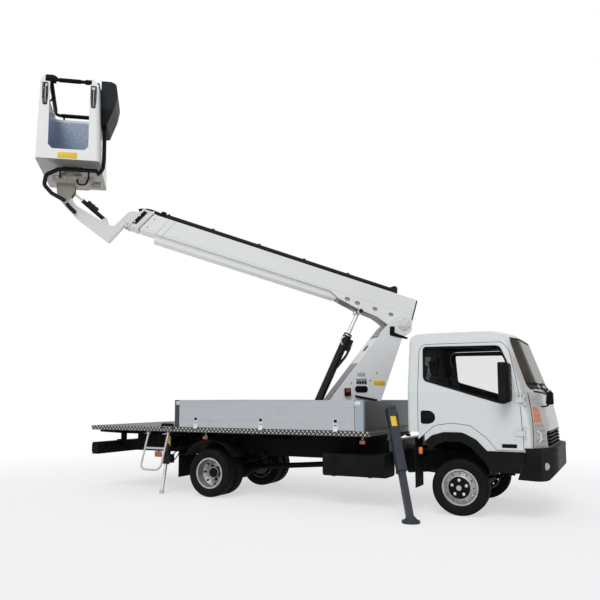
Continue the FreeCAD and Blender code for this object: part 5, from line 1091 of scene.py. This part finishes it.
build("railSleeves", "deepBlack", "basket", [
    (drum, (basket["u"], farRail["v"], railLevel), (1, 0, 0), farRail["radius"], 0.54, 32, 0.006),
    (drum, corner + skewed * 0.6, skewed, farRail["radius"], 0.9, 32, 0.006)])
hoseRoute = [(-0.385, 0.1, 5.01), (-0.418, 0.115, 4.94), (-0.424, 0.14, 4.7), (-0.426, 0.165, 4.46),
             (-0.4, 0.176, 4.335), (-0.34, 0.178, 4.3)]
bar("consoleHose", [(basket["u"] + along, v, z) for along, v, z in hoseRoute], 0.026, "sleeve", "basket")
build("controlBox", "deepBlack", "basket", [(block, (basket["u"] - 0.29, -0.06, basket["low"] + 1.075),
    (0.15, 0.34, 0.1), 0.012, 3)])
levers = {"u": -0.27, "vs": (-0.18, -0.11, -0.04, 0.03), "bootZ": 1.132, "stickZ": 1.16}
bm = bmesh.new()
for v in levers["vs"]:
    drum(bm, (basket["u"] + levers["u"], v, basket["low"] + levers["bootZ"]), (0, 0, 1), 0.016, 0.018, 20, 0.003)
    drum(bm, (basket["u"] + levers["u"], v, basket["low"] + levers["stickZ"]), (0, 0, 1), 0.006, 0.05, 12, 0.002)
keep(bm, "controlLevers", "label", "basket")
levelBase = Vector((4.345, 0, 0.15))
levelAim = (Vector((4.87, 0, 0.385)) - levelBase).normalized()
levelUp = Vector((-levelAim.z, 0, levelAim.x))
build("levelFittings", "steel", "level_barrel", [*[(drum, levelBase + levelAim * share + levelUp * 0.066,
    levelUp, 0.011, 0.02, 6, 0.002) for share in (0.19, 0.25, 0.31)], (drum, levelBase + levelAim * 0.398,
    levelAim, 0.0295, 0.014, 36, 0.002)])
bar("carrierLoop", [(3.44, 0.152, 4.225), (3.43, 0.185, 4.19), (3.46, 0.19, 4.145), (3.54, 0.185, 4.145),
    (3.57, 0.175, 4.19), (3.56, 0.15, 4.222)], 0.011, "deepBlack", "basket_carrier")
boltRow("carrierBolts", [(3.5, 0.1515, 4.245), (3.6, 0.1515, 4.245), (3.72, 0.1515, 4.245),
    (3.82, 0.1515, 4.245)], (0, 1, 0), 0.009, 0.007, "zinc", "basket_carrier")
print("basket fittings done")

# Bed and legs: straps, latches, reflectors, rollers, notices, bands, jack rings and lamp frames
bed = {"latches": [(-1.202, 1.28, 0.086), (-3.883, 1.28, 0.06)], "face": 0.983, "boardRear": -3.862,
       "boardLength": 2.621}
leg = {"top": (-0.846, 0.78, 1.225), "foot": (-0.391, 1.51, 0.0), "bands": (0.022, 0.852)}
jack = {"top": (-4.2, 0.737, 0.8), "foot": (-4.2, 0.905, 0.0), "rings": (0.385, 0.015), "hoseX": -4.125,
        "hoseY": 0.862}
strapXs = [bed["boardRear"] + bed["boardLength"] * share for share in (0.1065, 0.498, 0.904)]
for side, sign in sides:
    out = (0, sign, 0)
    bm = bmesh.new()
    for x in strapXs:
        frameBand(bm, oblong(x - 0.03, 1.036, x + 0.03, 1.092), "y", sign * 0.9805, sign * 0.985, 0.009,
            0.006, 2)
        drum(bm, (x, sign * 0.9855, 0.985), out, 0.011, 0.006, 20, 0.002)
    keep(bm, "strapHeads." + side, "steel", "side_board_" + side)
    bm = bmesh.new()
    for x in strapXs:
        block(bm, (x, sign * 0.9812, 1.064), (0.044, 0.003, 0.04), 0.0008)
        block(bm, (x, sign * 0.9858, 1.01), (0.046, 0.002, 0.012), 0.0006)
    keep(bm, "strapSlots." + side, "deepBlack", "side_board_" + side)
    bm = bmesh.new()
    for x, z, width in bed["latches"]:
        block(bm, (x, sign * bed["face"], z), (width, 0.014, 0.052), 0.003)
        drum(bm, (x - width * 0.2, sign * (bed["face"] + 0.008), z), (1, 0, 0), 0.008, width * 0.5, 16, 0.002)
    keep(bm, "postLatches." + side, "steel", "chassis")
    build("sideReflectors." + side, "orange", "chassis", [(plate, oblong(-4.337, 0.512, -4.209, 0.594), "y",
        sign * 0.9, sign * 0.907, 0.002, 0.006)])
    build("reflectorBrackets." + side, "chassisBlack", "chassis", [(block, (-4.272, sign * 0.895, 0.7),
        (0.024, 0.01, 0.37), 0.002)])
    build("bedRoller." + side, "deepBlack", "chassis", [(drum, (-4.06, sign * 0.9905, 0.975), (1, 0, 0),
        0.022, 0.16, 28, 0.004), *[(block, (x, sign * 0.985, 0.955), (0.012, 0.02, 0.07), 0.002)
        for x in (-4.155, -3.965)]])
    legTop = onSide(sign, leg["top"])
    legAim = (onSide(sign, leg["foot"]) - legTop).normalized()
    across = legAim.cross(Vector((0, 0, 1))).normalized()
    third = legAim.cross(across)
    outward = third if third.y * sign > 0 else -third
    turnTo = Matrix((across, outward, legAim)).transposed().to_4x4()
    legPlace = truckPlace @ Matrix.Translation(legTop) @ turnTo
    build("legNotice." + side, "yellow", "chassis", [(plate, oblong(-0.034, 0.15, 0.034, 0.29), "y", 0.0515,
        0.0535, 0.0006, 0.004)], place=legPlace)
    bm = bmesh.new()
    for along in leg["bands"]:
        block(bm, (0, 0, along), (0.114, 0.114, 0.024), 0.004)
    bmesh.ops.delete(bm, geom=[f for f in bm.faces if abs(f.normal.z) > 0.9 and f.calc_area() > 0.005],
        context="FACES_ONLY")
    bmesh.ops.solidify(bm, geom=bm.faces[:], thickness=0.003)
    keep(bm, "legBands." + side, "legSlate", "chassis", place=legPlace)
    bm = bmesh.new()
    jackTop = onSide(sign, jack["top"])
    jackAim = (onSide(sign, jack["foot"]) - jackTop).normalized()
    for along in jack["rings"]:
        drum(bm, jackTop + jackAim * along, jackAim, 0.048, 0.026, 36, 0.004)
    keep(bm, "jackRings." + side, "cylinderBlack", "chassis")
    bm = bmesh.new()
    block(bm, (0, 0, 0), (0.04, 0.004, 0.15), 0.001)
    bmesh.ops.rotate(bm, matrix=Matrix.Rotation(sign * math.radians(-34), 3, "Z"), verts=bm.verts)
    bmesh.ops.translate(bm, vec=(-4.1725, sign * 0.792, 0.735), verts=bm.verts)
    keep(bm, "jackNotice." + side, "yellow", "chassis")
    x, y = jack["hoseX"], sign * jack["hoseY"]
    for name, z in (("top", 0.535), ("low", 0.445)):
        bar("jackHose.%s.%s" % (name, side), [(x + 0.03, y - sign * 0.02, z),
            (x + 0.08, y - sign * 0.03, z + 0.02), (x + 0.1, y - sign * 0.12, z + 0.12),
            (x + 0.06, sign * 0.6, z + 0.24), (x + 0.04, sign * 0.42, 0.7)], 0.008, "sleeve", "chassis")
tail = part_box("tail_beam")
tailX = tail[0].x - truckPlace.translation.x
for side, sign in sides:
    build("tailLampFrame." + side, "deepBlack", "chassis", [(frameBand, oblong(sign * 0.612, 0.537,
        sign * 0.908, 0.668), "x", tailX - 0.031, tailX - 0.001, 0.0075, 0.012, 3)])
build("rearPlate", "label", "chassis", [(plate, oblong(-0.26, 0.545, 0.26, 0.655), "x", tailX - 0.006,
    tailX - 0.0005, 0.001, 0.006)])
sideLamp = {"centre": (-0.437, 0.905, 0.735), "size": (0.045, 0.03, 0.08)}
for side, sign in sides:
    x, y, z = sideLamp["centre"]
    build("archLamp." + side, "amber", "chassis", [(block, (x, sign * y, z), sideLamp["size"], 0.008, 3)])
    build("archLampBracket." + side, "chassisBlack", "chassis", [(block, (x - 0.03, sign * (y - 0.006), z),
        (0.02, 0.012, 0.06), 0.002), (block, (x - 0.055, sign * (y - 0.004), z), (0.012, 0.012, 0.06),
        0.002)])
print("bed and leg fittings done")
